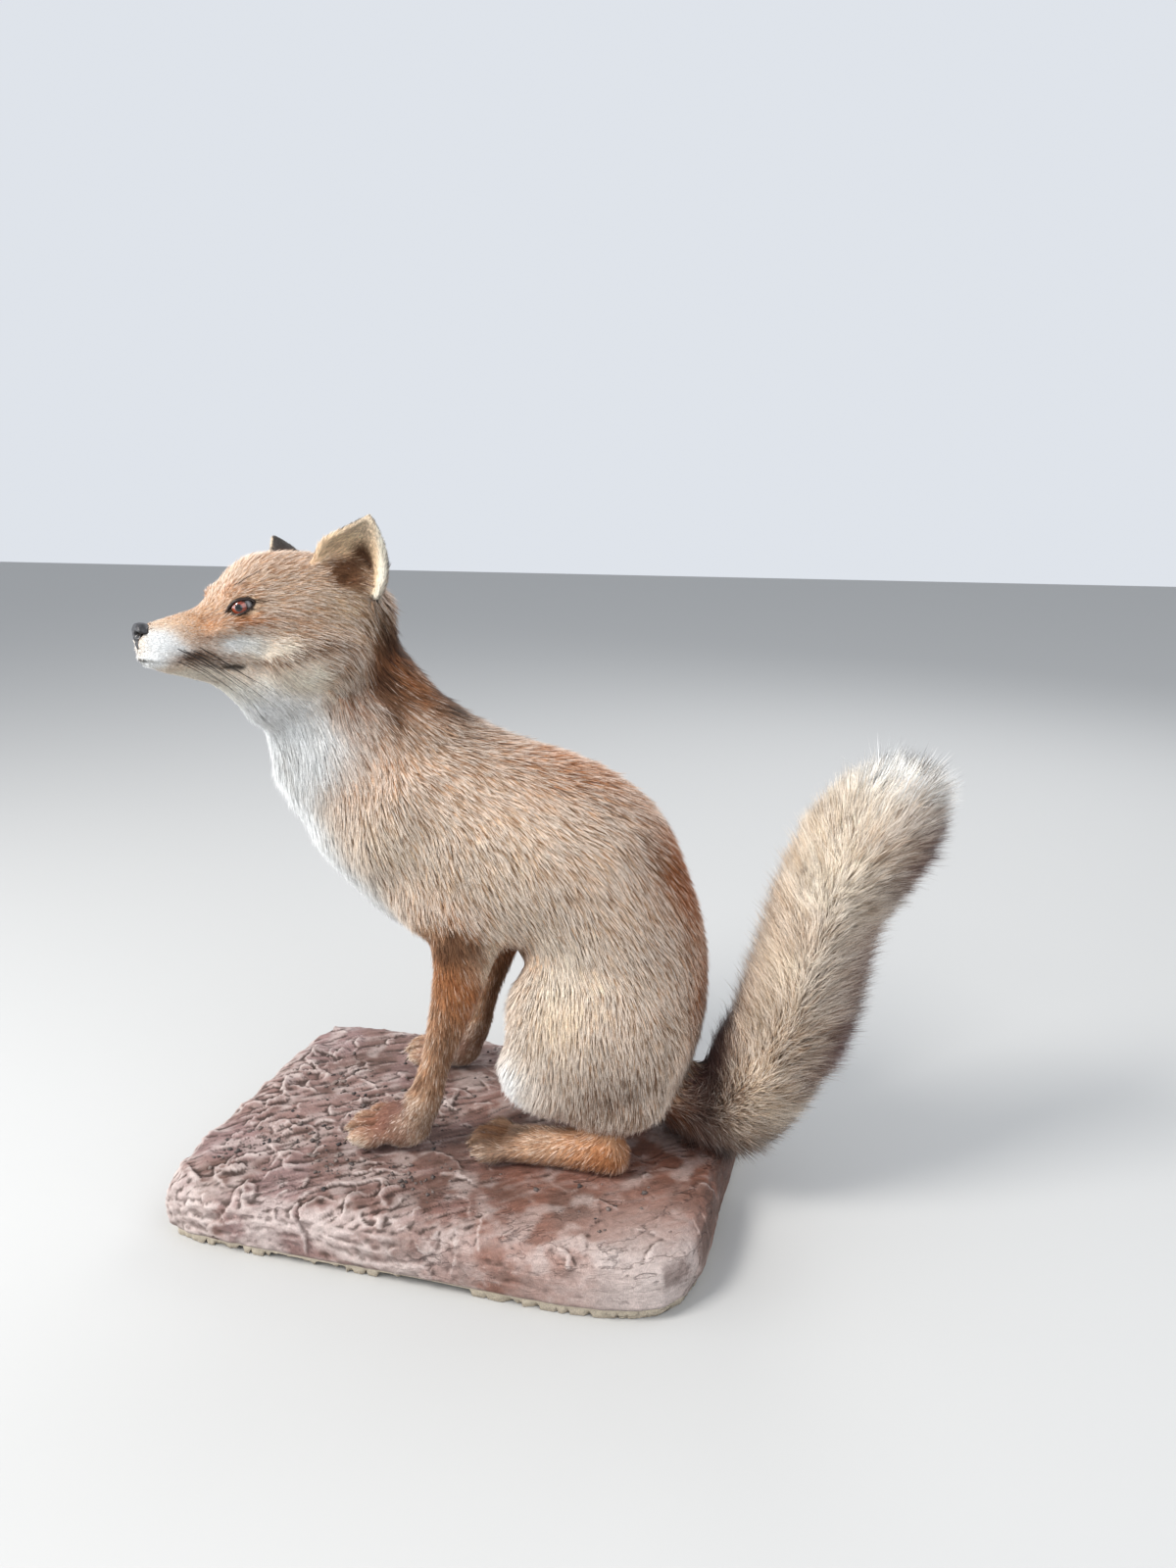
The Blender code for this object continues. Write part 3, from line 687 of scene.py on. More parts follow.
# Marks of the body: place (x, out from the midline, z), radii, colour and strength
BODY_MARKS = (
    ((-0.048, 0.000, 0.430), (0.024, 0.040, 0.036), "brown", 1.00),       # dark nape
    ((-0.028, 0.000, 0.402), (0.032, 0.034, 0.022), "brown", 0.95),
    ((-0.040, 0.000, 0.420), (0.020, 0.020, 0.030), "soot", 0.45),
    ((0.010, 0.000, 0.385), (0.030, 0.022, 0.014), "dusky", 0.60),
    ((0.090, 0.000, 0.352), (0.080, 0.034, 0.030), "fox_red", 0.85),      # red along the back
    ((0.165, 0.000, 0.290), (0.036, 0.040, 0.060), "rust", 0.85),
    ((0.190, 0.000, 0.200), (0.024, 0.046, 0.070), "rust", 0.75),
    ((-0.085, 0.040, 0.385), (0.024, 0.030, 0.040), "fox_red", 0.80),     # side of the neck
    ((-0.050, 0.046, 0.350), (0.050, 0.040, 0.030), "tawny", 0.55),       # shoulder
    ((-0.040, 0.070, 0.300), (0.040, 0.040, 0.030), "pale", 0.60),
    ((-0.178, 0.000, 0.370), (0.050, 0.080, 0.070), "white", 1.30),       # throat and breast
    ((-0.154, 0.000, 0.312), (0.050, 0.080, 0.042), "white", 1.30),
    ((-0.126, 0.000, 0.268), (0.046, 0.080, 0.030), "white", 1.30),
    ((-0.094, 0.000, 0.232), (0.048, 0.074, 0.028), "white", 1.30),
    ((-0.116, 0.000, 0.256), (0.042, 0.100, 0.030), "white", 1.00),
    ((0.030, 0.075, 0.285), (0.050, 0.040, 0.035), "pale", 0.45),         # flank
    ((0.080, 0.080, 0.215), (0.045, 0.050, 0.035), "cream", 0.60),
    ((0.046, 0.080, 0.118), (0.028, 0.045, 0.045), "white", 0.90),        # front of the thigh
    ((0.046, 0.050, 0.210), (0.012, 0.030, 0.018), "fox_red", 0.60),      # behind the elbow
    ((0.080, 0.090, 0.170), (0.030, 0.050, 0.030), "pale", 0.60),
    ((0.135, 0.090, 0.120), (0.045, 0.040, 0.040), "dusky", 0.60),        # grizzled haunch
    ((0.090, 0.090, 0.092), (0.050, 0.040, 0.014), "dusky", 0.45),
    ((0.080, 0.090, 0.075), (0.050, 0.040, 0.006), "cream", 0.75),        # pale hem over the foot
    ((0.090, 0.090, 0.185), (0.030, 0.040, 0.022), "golden", 0.45),
    ((0.008, 0.060, 0.190), (0.030, 0.040, 0.055), "fox_red", 0.90),      # foreleg
    ((-0.008, 0.064, 0.130), (0.024, 0.030, 0.040), "tawny", 0.90),
    # Painted shade in the crease above the elbow
    ((0.009, 0.070, 0.225), (0.024, 0.030, 0.013), "brown", 0.90),        # crease above the elbow
    ((0.036, 0.050, 0.205), (0.010, 0.030, 0.040), "cream", 0.70),        # pale edge behind the elbow
    ((-0.002, 0.074, 0.150), (0.010, 0.030, 0.030), "brown", 0.35),
    ((-0.018, 0.074, 0.112), (0.0050, 0.010, 0.0045), "brown", 0.90),     # dark spot on the wrist
    ((-0.052, 0.064, 0.080), (0.028, 0.030, 0.024), "mauve", 0.95),       # forepaw
    ((-0.062, 0.064, 0.072), (0.030, 0.030, 0.018), "rust", 0.30),
    ((-0.058, 0.064, 0.054), (0.036, 0.030, 0.004), "cream", 0.60),
    ((0.110, 0.060, 0.066), (0.042, 0.030, 0.020), "fox_red", 0.90),      # heel
    ((0.075, 0.058, 0.066), (0.030, 0.030, 0.016), "tawny", 0.80),
    ((0.032, 0.058, 0.070), (0.028, 0.030, 0.018), "brown", 0.75),        # hind toes
    ((0.036, 0.058, 0.081), (0.034, 0.030, 0.008), "soot", 0.70),
)

# Marks of the tail, which has no sides: dusky above and below, cream between, white at the tip
TAIL_MARKS = (
    ((0.250, 0.030, 0.200), (0.200, 0.200, 0.200), "pale", 1.00),
    ((0.262, 0.030, 0.230), (0.090, 0.200, 0.160), "golden", 0.40),
    ((0.268, -0.020, 0.240), (0.030, 0.030, 0.090), "cream", 0.80),       # pale along its sides
    ((0.268, 0.080, 0.240), (0.030, 0.030, 0.090), "cream", 0.80),
    ((0.140, 0.030, 0.070), (0.035, 0.050, 0.030), "rust", 0.95),         # root
    ((0.186, 0.030, 0.060), (0.022, 0.050, 0.036), "mauve", 0.80),
    ((0.182, 0.030, 0.125), (0.028, 0.056, 0.042), "mauve", 1.00),        # upper side
    ((0.200, 0.030, 0.185), (0.026, 0.056, 0.042), "mauve", 0.90),
    ((0.216, 0.030, 0.250), (0.026, 0.056, 0.040), "mauve", 0.70),
    ((0.236, 0.030, 0.305), (0.018, 0.036, 0.030), "dusky", 0.50),
    ((0.236, 0.030, 0.060), (0.040, 0.036, 0.026), "dusky", 0.70),        # underside
    ((0.286, 0.030, 0.125), (0.034, 0.070, 0.046), "mauve", 1.25),
    ((0.314, 0.030, 0.200), (0.036, 0.070, 0.046), "mauve", 1.25),
    ((0.324, 0.030, 0.270), (0.028, 0.044, 0.040), "mauve", 1.10),
    ((0.236, -0.016, 0.235), (0.024, 0.022, 0.016), "fox_red", 0.40),     # worn patches on its sides
    ((0.262, 0.076, 0.215), (0.024, 0.022, 0.016), "fox_red", 0.40),
    ((0.310, 0.030, 0.352), (0.046, 0.060, 0.026), "white", 1.00),        # tip
)

# Marks of the head, in its own frame, alike on both sides
HEAD_MARKS = (
    ((0.050, 0.020, 0.030), (0.045, 0.040, 0.020), "tawny", 0.45),        # crown
    ((0.116, 0.000, 0.000), (0.034, 0.014, 0.012), "tawny", 0.60),        # bridge
    ((0.108, 0.019, -0.012), (0.016, 0.012, 0.0150), "fox_red", 0.55),    # before the eye
    ((0.088, 0.022, 0.008), (0.016, 0.010, 0.006), "fox_red", 0.55),      # brow
    ((0.084, 0.031, -0.0115), (0.014, 0.012, 0.0045), "fox_red", 0.85),   # under the eye
    ((0.050, 0.045, -0.014), (0.022, 0.020, 0.011), "tawny", 0.55),       # cheek
    ((0.141, 0.012, -0.024), (0.012, 0.016, 0.0090), "white", 0.90),      # side of the muzzle
    ((0.128, 0.014, -0.030), (0.010, 0.014, 0.0060), "white", 0.80),
    ((0.146, 0.006, -0.034), (0.010, 0.014, 0.0060), "white", 1.20),      # lip
    ((0.091, 0.028, -0.0285), (0.017, 0.018, 0.0078), "white", 0.85),     # cheek patch
    ((0.070, 0.038, -0.0320), (0.022, 0.020, 0.0100), "cream", 0.60),
    ((0.118, 0.017, -0.0340), (0.014, 0.012, 0.0044), "brown", 0.95),     # dark bed of the whiskers
    ((0.102, 0.022, -0.0390), (0.013, 0.012, 0.0028), "brown", 0.70),
    ((0.111, 0.019, -0.0225), (0.010, 0.010, 0.0040), "dusky", 0.60),
    ((0.125, 0.000, -0.048), (0.030, 0.026, 0.0070), "cream", 1.00),      # chin
    ((0.098, 0.006, -0.062), (0.030, 0.028, 0.0120), "cream", 1.10),      # jaw
    ((0.064, 0.000, -0.096), (0.045, 0.062, 0.036), "white", 1.30),       # throat
    ((0.048, 0.044, -0.056), (0.026, 0.022, 0.014), "cream", 0.80),       # below the cheek
    ((0.022, 0.046, -0.050), (0.014, 0.022, 0.020), "dusky", 0.40),       # edge of the ruff
    # Painted shade in the fold behind the ruff
    ((-0.004, 0.044, -0.048), (0.0090, 0.026, 0.036), "brown", 0.95),     # fold behind the ruff
    ((-0.026, 0.040, -0.044), (0.018, 0.030, 0.040), "fox_red", 0.75),    # side of the neck
    ((0.014, 0.052, -0.005), (0.024, 0.018, 0.012), "golden", 1.10),      # below the ear
    # Painted shade in the mouth of the ear
    ((0.013, 0.041, 0.0170), (0.0110, 0.014, 0.0110), "brown", 1.30),     # mouth of the ear
    ((-0.014, 0.036, -0.014), (0.008, 0.014, 0.014), "soot", 0.60),       # behind the ear
    ((-0.040, 0.000, -0.010), (0.024, 0.036, 0.034), "brown", 1.00),      # nape
)


def colour_of(name):
    return np.array(COLOURS[name])


def lay_on(colours, colour, share):
    """Covers the colours with another one by a share for each point."""
    colours += (colour - colours) * np.clip(share, 0, 1)[:, None]


def ear_colours(head_points, head_normals, side):
    """Golden hair in front, painted shade in the hollow behind it, a pale rear rim, and a back that is black
    at the tip.
    """
    height, across, inward = ear_place(head_points, head_normals, side)
    inner, back = (np.tile(colour_of(name), (len(height), 1)) for name in ("golden", "fox_red"))
    lay_on(inner, colour_of("pale"), ramp(height, 0.45, 0.9))
    # Painted shade in the ear's hollow
    lay_on(inner, colour_of("brown") * 0.8, ramp(ear_hollow(height, across), 0.25, 0.62))
    lay_on(inner, colour_of("cream"), ramp(across, 0.66, 0.84) * (1 - ramp(height, 0.80, 1.0)))
    lay_on(inner, colour_of("soot"), ramp(across, 1.04, 1.12) * ramp(height, 0.05, 0.2))
    lay_on(back, colour_of("soot"), ramp(height, 0.10, 0.50))
    lay_on(back, inner, ramp(inward, -0.45, -0.10))
    return back


def markings(points, normals, names):
    """The coat's colour at each point, the same for skin and tufts, with painted shade in some creases and
    folds and in the ear's hollow.
    """
    colours = np.tile(colour_of("sandy"), (len(points), 1))
    tail, ear, face = owned(names, "tail"), owned(names, "ear"), owned(names, "head", "nose", "eye")
    # The marks' edges waver
    waver = np.stack([layered(points, 0.014, 61 + k, 2) - 0.5 for k in range(3)], axis=1) * 0.020
    head, half = to_head(points), folded(points, MIDLINE_Y) + waver
    for own, places, marks in (
        (~(tail | ear | face), half, BODY_MARKS),
        (tail, points + waver, TAIL_MARKS),
        (face | owned(names, "neck"), folded(head) + waver * 0.4, HEAD_MARKS),
    ):
        part, spots = colours[own], places[own]
        for centre, radii, name, strength in marks:
            lay_on(part, colour_of(name), 1.5 * strength * bell(spots, centre, radii))
        colours[own] = part
    mottle = ramp(layered(points, 0.010, 41), 0.48, 0.60) * ~tail
    nape = np.minimum(1, 1.5 * bell(half, (-0.036, 0.0, 0.418), (0.040, 0.055, 0.045)))
    lay_on(colours, colour_of("soot"), 0.85 * (nape * mottle))
    for side, label in SIDES:
        own = owned(names, "ear_" + label)
        colours[own] = ear_colours(head[own], directions_to_head(normals[own]), side)
    blotch = 0.45 * (layered(points, 0.030, 5) - 0.5) + 0.30 * (layered(points, 0.009, 6) - 0.5)
    return np.clip(colours * (1 + blotch[:, None]), 0, 1)


# The lie of the coat ----------------------------------------------------------------------------------

# Place (x, out from the midline, z), direction of the hair and reach
BODY_LAY = (
    ((-0.060, 0.000, 0.430), (0.65, 0.0, -0.75), 0.035),      # nape
    ((-0.010, 0.000, 0.388), (0.85, 0.0, -0.50), 0.045),      # withers
    ((0.080, 0.000, 0.358), (0.95, 0.0, -0.30), 0.050),       # back
    ((0.150, 0.000, 0.310), (0.65, 0.0, -0.76), 0.045),
    ((0.186, 0.000, 0.210), (0.05, 0.0, -1.00), 0.050),       # rump
    ((0.160, 0.000, 0.090), (0.30, 0.0, -0.95), 0.040),
    ((-0.090, 0.045, 0.400), (0.22, 0.1, -0.97), 0.040),      # side of the neck
    ((-0.158, 0.000, 0.360), (0.02, 0.0, -1.00), 0.040),      # throat
    ((-0.145, 0.000, 0.310), (0.25, 0.0, -0.97), 0.045),      # breast
    ((-0.090, 0.000, 0.235), (0.60, 0.0, -0.80), 0.045),
    ((-0.040, 0.070, 0.310), (0.55, 0.0, -0.83), 0.050),      # shoulder
    ((0.000, 0.070, 0.250), (0.25, 0.0, -0.97), 0.040),       # upper arm
    ((0.060, 0.090, 0.300), (0.80, 0.0, -0.60), 0.055),       # ribs
    ((0.130, 0.080, 0.250), (0.50, 0.0, -0.87), 0.050),       # loin
    ((0.030, 0.070, 0.220), (0.80, 0.0, -0.60), 0.040),       # belly
    ((0.120, 0.090, 0.160), (0.10, 0.0, -1.00), 0.050),       # thigh
    ((0.055, 0.080, 0.130), (-0.40, 0.0, -0.92), 0.035),      # knee
    ((0.130, 0.080, 0.090), (-0.10, 0.0, -1.00), 0.030),      # hem over the hind foot
    ((0.010, 0.060, 0.200), (-0.05, 0.0, -1.00), 0.030),      # foreleg
    ((-0.010, 0.064, 0.130), (-0.20, 0.0, -1.00), 0.028),
    ((-0.035, 0.064, 0.082), (-0.50, 0.0, -0.87), 0.020),
    ((-0.070, 0.064, 0.062), (-1.00, 0.0, -0.30), 0.020),     # toes
    ((0.138, 0.058, 0.072), (0.60, 0.0, -0.80), 0.010),       # heel
    ((0.115, 0.058, 0.068), (-0.70, 0.0, -0.50), 0.020),      # hind foot
    ((0.060, 0.058, 0.065), (-1.00, 0.0, -0.10), 0.025),
    ((0.020, 0.058, 0.060), (-1.00, 0.0, -0.30), 0.020),
)
HEAD_LAY = (
    ((0.150, 0.000, -0.010), (-1.0, 0.0, 0.10), 0.012),       # nose
    ((0.120, 0.000, -0.003), (-1.0, 0.0, 0.10), 0.018),       # bridge
    ((0.095, 0.000, 0.013), (-0.85, 0.0, 0.50), 0.014),       # stop
    ((0.070, 0.000, 0.033), (-1.0, 0.0, 0.20), 0.020),        # forehead
    ((0.035, 0.000, 0.037), (-1.0, 0.0, -0.10), 0.020),       # crown
    ((-0.010, 0.000, 0.020), (-0.9, 0.0, -0.45), 0.025),      # nape
    ((0.135, 0.013, -0.020), (-1.0, 0.1, -0.10), 0.015),      # side of the muzzle
    ((0.110, 0.020, -0.020), (-1.0, 0.3, -0.15), 0.015),
    ((0.085, 0.030, -0.018), (-1.0, 0.35, -0.25), 0.014),     # cheekbone
    ((0.088, 0.025, 0.012), (-0.9, 0.35, 0.35), 0.012),       # brow
    ((0.060, 0.040, 0.005), (-1.0, 0.3, 0.05), 0.020),        # temple
    ((0.055, 0.045, -0.030), (-1.0, 0.2, -0.40), 0.020),      # cheek
    ((0.020, 0.045, -0.035), (-0.8, 0.1, -0.60), 0.025),      # ruff
    ((0.000, 0.045, -0.010), (-0.8, 0.1, -0.60), 0.020),      # below the ear
    ((0.130, 0.008, -0.040), (-1.0, 0.1, -0.20), 0.015),      # chin
    ((0.100, 0.010, -0.055), (-1.0, 0.1, -0.45), 0.016),      # jaw
    ((0.075, 0.010, -0.080), (-0.7, 0.0, -0.70), 0.020),      # throat
)
# The middle of the tail from its root to its tip: (x, z)
TAIL_PATH = ((0.126, 0.078), (0.160, 0.074), (0.196, 0.082), (0.226, 0.112), (0.246, 0.156),
             (0.262, 0.210), (0.272, 0.260), (0.292, 0.304), (0.318, 0.352))
TAIL_Y = MIDLINE_Y + 0.012


def guided(points, guides):
    """Directions blended from the guides, each felt over its reach."""
    total, weight = np.zeros((len(points), 3)), np.full(len(points), 1e-12)
    for place, direction, reach in guides:
        felt = np.exp(-((points - np.array(place)) ** 2).sum(axis=1) / (2 * reach ** 2))
        total += felt[:, None] * unit(np.array(direction))
        weight += felt
    return total / weight[:, None]


def tail_direction(points):
    path = np.array([(x, TAIL_Y, z) for x, z in TAIL_PATH])
    tangents = unit(np.gradient(path, axis=0))
    gap = np.linalg.norm(points[:, None, :] - path[None], axis=2)
    felt = np.exp(-(gap / 0.035) ** 2) + 1e-12
    return unit((felt[:, :, None] * tangents[None]).sum(axis=1))


def lay_of_coat(mesh, points, normals, names):
    """The direction in which the hair lies at each vertex, along the surface."""
    lay = guided(folded(points, MIDLINE_Y), BODY_LAY)
    lay[:, 1] *= np.where(points[:, 1] > MIDLINE_Y, 1.0, -1.0)
    head = to_head(points)
    head_lay = guided(folded(head), HEAD_LAY)
    head_lay[:, 1] *= np.sign(head[:, 1])
    share = spread(mesh, owned(names, "head", "nose", "eye").astype(float), 12)[:, None]
    lay = lay + (directions_from_head(head_lay) - lay) * share
    tail = owned(names, "tail")
    lay[tail] = tail_direction(points[tail])
    for side, label in SIDES:
        own = owned(names, "ear_" + label)
        axis, _, rear = ear_axes(side)[:3]
        height, across, inward = ear_place(head[own], directions_to_head(normals[own]), side)
        sweep = 0.45 * (1 - ramp(across, -0.4, 0.3)) * (1 - ramp(height, 0.5, 1.0)) * (inward > 0)
        lay[own] = directions_from_head(unit(axis + rear * sweep[:, None]))
    lay -= normals * dot(lay, normals)
    lay = spread(mesh, unit(lay), 6)
    return unit(lay - normals * dot(lay, normals))


# Tufts ------------------------------------------------------------------------------------------------

# For each node: length and width of the hair, its lift from the skin in degrees, and the shares of the tufts
# that end pale and of those that end dark
HAIR = {
    "head": (0.0095, 0.00054, 12, 0.54, 0.20),
    "nose": (0.0030, 0.00060, 8, 0.15, 0.15),
    "eye": (0.0030, 0.00060, 8, 0.15, 0.15),
    "ear": (0.0065, 0.00048, 13, 0.10, 0.10),
    "neck": (0.0190, 0.00070, 15, 0.50, 0.22),
    "trunk": (0.0150, 0.00072, 15, 0.62, 0.17),
    "thigh": (0.0135, 0.00072, 17, 0.66, 0.15),
    "foreleg": (0.0090, 0.00060, 14, 0.32, 0.32),
    "forepaw": (0.0048, 0.00055, 15, 0.60, 0.35),
    "hindfoot": (0.0074, 0.00058, 17, 0.35, 0.25),
    "tail_root": (0.0230, 0.00075, 32, 0.50, 0.20),
    "tail_middle": (0.0310, 0.00075, 38, 0.50, 0.20),
    "tail_tip": (0.0300, 0.00080, 36, 0.50, 0.20),
}
# The regions of the skin, by how the names of their nodes start
REGIONS = {
    "head": ("head", "nose", "eye"),
    "ears": ("ear",),
    "neck": ("neck",),
    "trunk": ("trunk",),
    "thighs": ("thigh",),
    "legs": ("foreleg", "forepaw", "hindfoot"),
    "tail": ("tail_root", "tail_middle"),
    "tail_tip": ("tail_tip",),
}
# The pieces of coat: name, slot, region, side (1 left, -1 right), share of the triangles, and the habit of
# the hair: spacing of its locks, how tightly they close, how far it strays, how dark its roots are, a seed
COAT = (
    ("coat_head", "head_coat", "head", 0, 1.0, (0.0018, 0.55, 1.1, 1.0, 9)),
    ("coat_ears", "ear_coat", "ears", 0, 0.5, (0.0025, 0.45, 1.0, 0.50, 9)),
    ("coat_neck", "body_coat", "neck", 0, 1.0, (0.0022, 0.58, 1.0, 1.0, 9)),
    ("coat_trunk_left", "body_coat", "trunk", 1, 1.0, (0.0021, 0.60, 1.0, 0.9, 15)),
    ("coat_trunk_right", "body_coat", "trunk", -1, 1.0, (0.0021, 0.60, 1.0, 0.9, 16)),
    ("coat_thighs", "body_coat", "thighs", 0, 1.0, (0.0021, 0.60, 1.0, 0.8, 11)),
    ("coat_legs", "leg_coat", "legs", 0, 0.9, (0.0018, 0.45, 1.3, 0.8, 9)),
    ("coat_tail", "tail_coat", "tail", 0, 1.0, (0.0026, 0.34, 2.0, 0.55, 9)),
    ("coat_tail_tip", "tail_coat", "tail_tip", 0, 0.8, (0.0040, 0.55, 2.4, 0.55, 13)),
)
TAIL_REACH = CAD_BOX[1].x + 0.0155     # the tail's hair bends upright before it stands out further
TAIL_BEND = 0.008                      # how soon before that it starts to bend
ROOT_DEPTH = 0.0006
OWN_PATCH = 0.003                      # how much of the unwrap one tuft takes


def unwrapped(points, triangles):
    """The corners' places on an unwrap of that part of the skin, filled out to the unit square."""
    used, inverse = np.unique(triangles, return_inverse=True)
    mesh = mesh_from("unwrap", points[used], inverse.reshape(-1, 3))
    obj = new_object("unwrap", mesh)
    in_edit_mode(obj, bpy.ops.uv.smart_project, angle_limit=math.radians(66), island_margin=0.001)
    corners = read(mesh.uv_layers.active.uv, "vector", 2).reshape(-1, 3, 2).astype(np.float64)
    bpy.data.objects.remove(obj)
    bpy.data.meshes.remove(mesh)
    return corners


def clumped(roots, tips, spacing, pull, rng):
    """Draws the tips of neighbouring tufts towards one another, so that they part into locks."""
    count = max(2, int(len(roots) * min(1.0, (0.0011 / spacing) ** 2 * 1.3)))
    chosen = rng.choice(len(roots), count, replace=False)
    lock = nearest(roots[chosen], roots)
    leader = chosen[lock]
    shift = (tips[leader] - roots[leader]) + roots[leader] - tips
    return tips + shift * pull[:, None], lock


def scattered(points, triangles, density, count, rng):
    """Places spread over the triangles by area and density: which triangle, and the shares of its corners."""
    a, b, c = (points[triangles[:, k]] for k in range(3))
    weight = np.linalg.norm(np.cross(b - a, c - a), axis=1) * density[triangles].mean(axis=1)
    steps = (np.arange(count) + rng.random(count)) / count * weight.sum()
    chosen = np.minimum(np.searchsorted(np.cumsum(weight), steps), len(triangles) - 1)
    u, v = rng.random(count), rng.random(count)
    flip = u + v > 1
    u[flip], v[flip] = 1 - u[flip], 1 - v[flip]
    return chosen, np.stack([1 - u - v, u, v], axis=1)


def tuft_colours(tones, locks, pale, dark, deep, rng):
    """The colours of root and tip: darker at the root, for the darker underfur and in part as painted shade
    deep in the coat, and pale, dark or plain at the tip.
    """
    lock_tone = rng.random(locks.max() + 1)[locks]
    white = ramp(tones.mean(axis=1), 0.58, 0.80)
    contrast = 1 + (0.68 * lock_tone - 0.35) * (1 - 0.7 * white)
    tones = tones * (rng.uniform(0.78, 1.22, len(tones)) * contrast)[:, None]
    draw = 0.60 * rng.random(locks.max() + 1)[locks] + 0.40 * rng.random(len(tones))
    is_pale = (draw < pale * ramp(tones.mean(axis=1), 0.08, 0.40))[:, None]
    is_dark = (draw > 1 - dark * (1 - white))[:, None]
    white = white[:, None]
    tips = np.where(is_pale, tones * 0.35 + np.array((0.66, 0.61, 0.55)), tones)
    tips = np.where(is_dark, tones * np.array((0.42, 0.30, 0.22)), tips)
    tips = tips + (tones * 1.08 - tips) * white
    # The roots are darker for the darker underfur and, in part, as painted shade deep in the coat
    underfur_and_shade = 1 - (1 - np.array((0.48, 0.33, 0.23))) * deep
    return tones * (underfur_and_shade + (0.88 - underfur_and_shade) * white), tips


def joined_tufts(name, roots, tips, up, half, root_tone, tip_tone, places):
    """All the tufts in one mesh, each with a small patch at its place on the skin's own unwrap."""
    direction = unit(tips - roots)
    across = unit(np.cross(direction, up))
    over = np.cross(across, direction)
    sunk = roots - up * ROOT_DEPTH
    vertices = np.stack([sunk - across * half, sunk + across * half, sunk + over * half * 0.9, tips], axis=1)
    shading = np.stack([unit(up * 0.8 - across * 0.5), unit(up * 0.8 + across * 0.5),
                        unit(up + over * 0.2), unit(up + direction * 0.25)], axis=1)
    pattern = np.array(((0, 1, 2), (1, 0, 3), (2, 1, 3), (0, 2, 3)))
    faces = (pattern[None] + (np.arange(len(roots)) * 4)[:, None, None]).reshape(-1, 3)
    coat = mesh_from(name, vertices.reshape(-1, 3), faces)
    tones = np.stack([root_tone, root_tone, root_tone, tip_tone], axis=1)
    set_vertex_colours(coat, "coat", tones.reshape(-1, 3))
    spot = np.array(((-0.5, -0.5), (0.5, -0.5), (0.0, -0.25), (0.0, 0.5)))
    patch = places[:, None, :] + spot[None] * OWN_PATCH
    layer = coat.uv_layers.new(name="OFBake")
    layer.uv.foreach_set("vector", patch.reshape(-1, 2)[faces.ravel()].astype(np.float32).ravel())
    coat.normals_split_custom_set_from_vertices(shading.reshape(-1, 3).astype(np.float32))
    return new_object(name, coat)


def grow(name, skin, wanted, budget, disorder, habit):
    """A piece of coat: closed tufts rooted where the skin's vertices are wanted, within a triangle budget."""
    spacing, pull, wild, deep, seed = habit
    mesh = skin.data
    points, triangles = points_of(mesh), triangles_of(mesh)
    triangles = triangles[wanted[triangles[:, 0]]]
    corners = unwrapped(points, triangles)
    rng = np.random.default_rng(seed)
    count = budget // 4
    chosen, shares = scattered(points, triangles, stored(mesh, "density"), count, rng)
    corner = triangles[chosen]

    def at_roots(values):
        picked = values[corner]
        return (picked * (shares if values.ndim == 1 else shares[:, :, None])).sum(axis=1)

    def measure(field):
        return at_roots(stored(mesh, field))

    roots, up = at_roots(points), unit(at_roots(normals_of(mesh)))
    along = measure("lay")
    along = unit(along - up * dot(along, up))
    stray = rng.normal(0, 1, (count, 2))
    turn = (grain(roots, 0.022, seed) - 0.5) * 0.5 + stray[:, 0] * disorder * wild
    lift = at_roots(np.radians(stored(mesh, "lift"))) * (1 + 0.30 * stray[:, 1]) + 0.02
    along = unit(along * np.cos(turn)[:, None] + np.cross(up, along) * np.sin(turn)[:, None])
    guard = rng.random(count) < 0.04 * wild
    size = measure("length") * np.where(guard, 1.25, rng.uniform(0.72, 1.15, count))
    tips = roots + unit(along * np.cos(lift)[:, None] + up * np.sin(lift)[:, None]) * size[:, None]
    tips, locks = clumped(roots, tips, spacing, pull * rng.uniform(0.5, 1.4, count), rng)
    beyond = np.maximum(tips[:, 0] - TAIL_REACH + TAIL_BEND, 0)
    tips[:, 0] -= beyond - TAIL_BEND * np.tanh(beyond / TAIL_BEND)
    half = (measure("width") * rng.uniform(0.7, 1.3, count) * np.where(guard, 0.32, 0.5))[:, None]
    # Each tuft takes its colour a little up or down the lie, so that the markings run together in streaks
    drift = along * (size * rng.uniform(-0.45, 0.45, count))[:, None]
    tones = vertex_colours(mesh, "coat")[nearest(points, roots + drift)]
    root_tone, tip_tone = tuft_colours(tones, locks, measure("pale"), measure("dark"), deep, rng)
    places = (corners[chosen] * shares[:, :, None]).sum(axis=1)
    return joined_tufts(name, roots, tips, up, half, root_tone, tip_tone, places)


# Settings ---------------------------------------------------------------------------------------------

class FoxCoatSettings(bpy.types.PropertyGroup):
    piece_triangles: IntProperty(
        name="Triangles in a piece", description="Most triangles that one piece of coat may have",
        default=182000, min=1000, max=199000)
    disorder: FloatProperty(
        name="Disorder", description="How far each tuft turns from the lie of the coat",
        default=0.13, min=0.0, max=1.0, subtype="ANGLE")
    sheen: FloatProperty(name="Sheen", description="Soft gloss of the hair", default=0.12, min=0.0, max=1.0)


class FoxFaceSettings(bpy.types.PropertyGroup):
    iris: FloatVectorProperty(
        name="Iris", description="Colour of the iris", default=(0.22, 0.040, 0.017), size=3, subtype="COLOR")
    pupil: FloatProperty(
        name="Pupil", description="Radius of the pupil", default=0.0026, unit="LENGTH")
    iris_radius: FloatProperty(
        name="Iris radius", description="Radius of the iris", default=0.0055, unit="LENGTH")
    whiskers: IntProperty(name="Whiskers", description="Whiskers on each side", default=10, min=0, max=20)
    whisker_length: FloatProperty(
        name="Whisker length", description="Length of the longest whisker", default=0.085, unit="LENGTH")


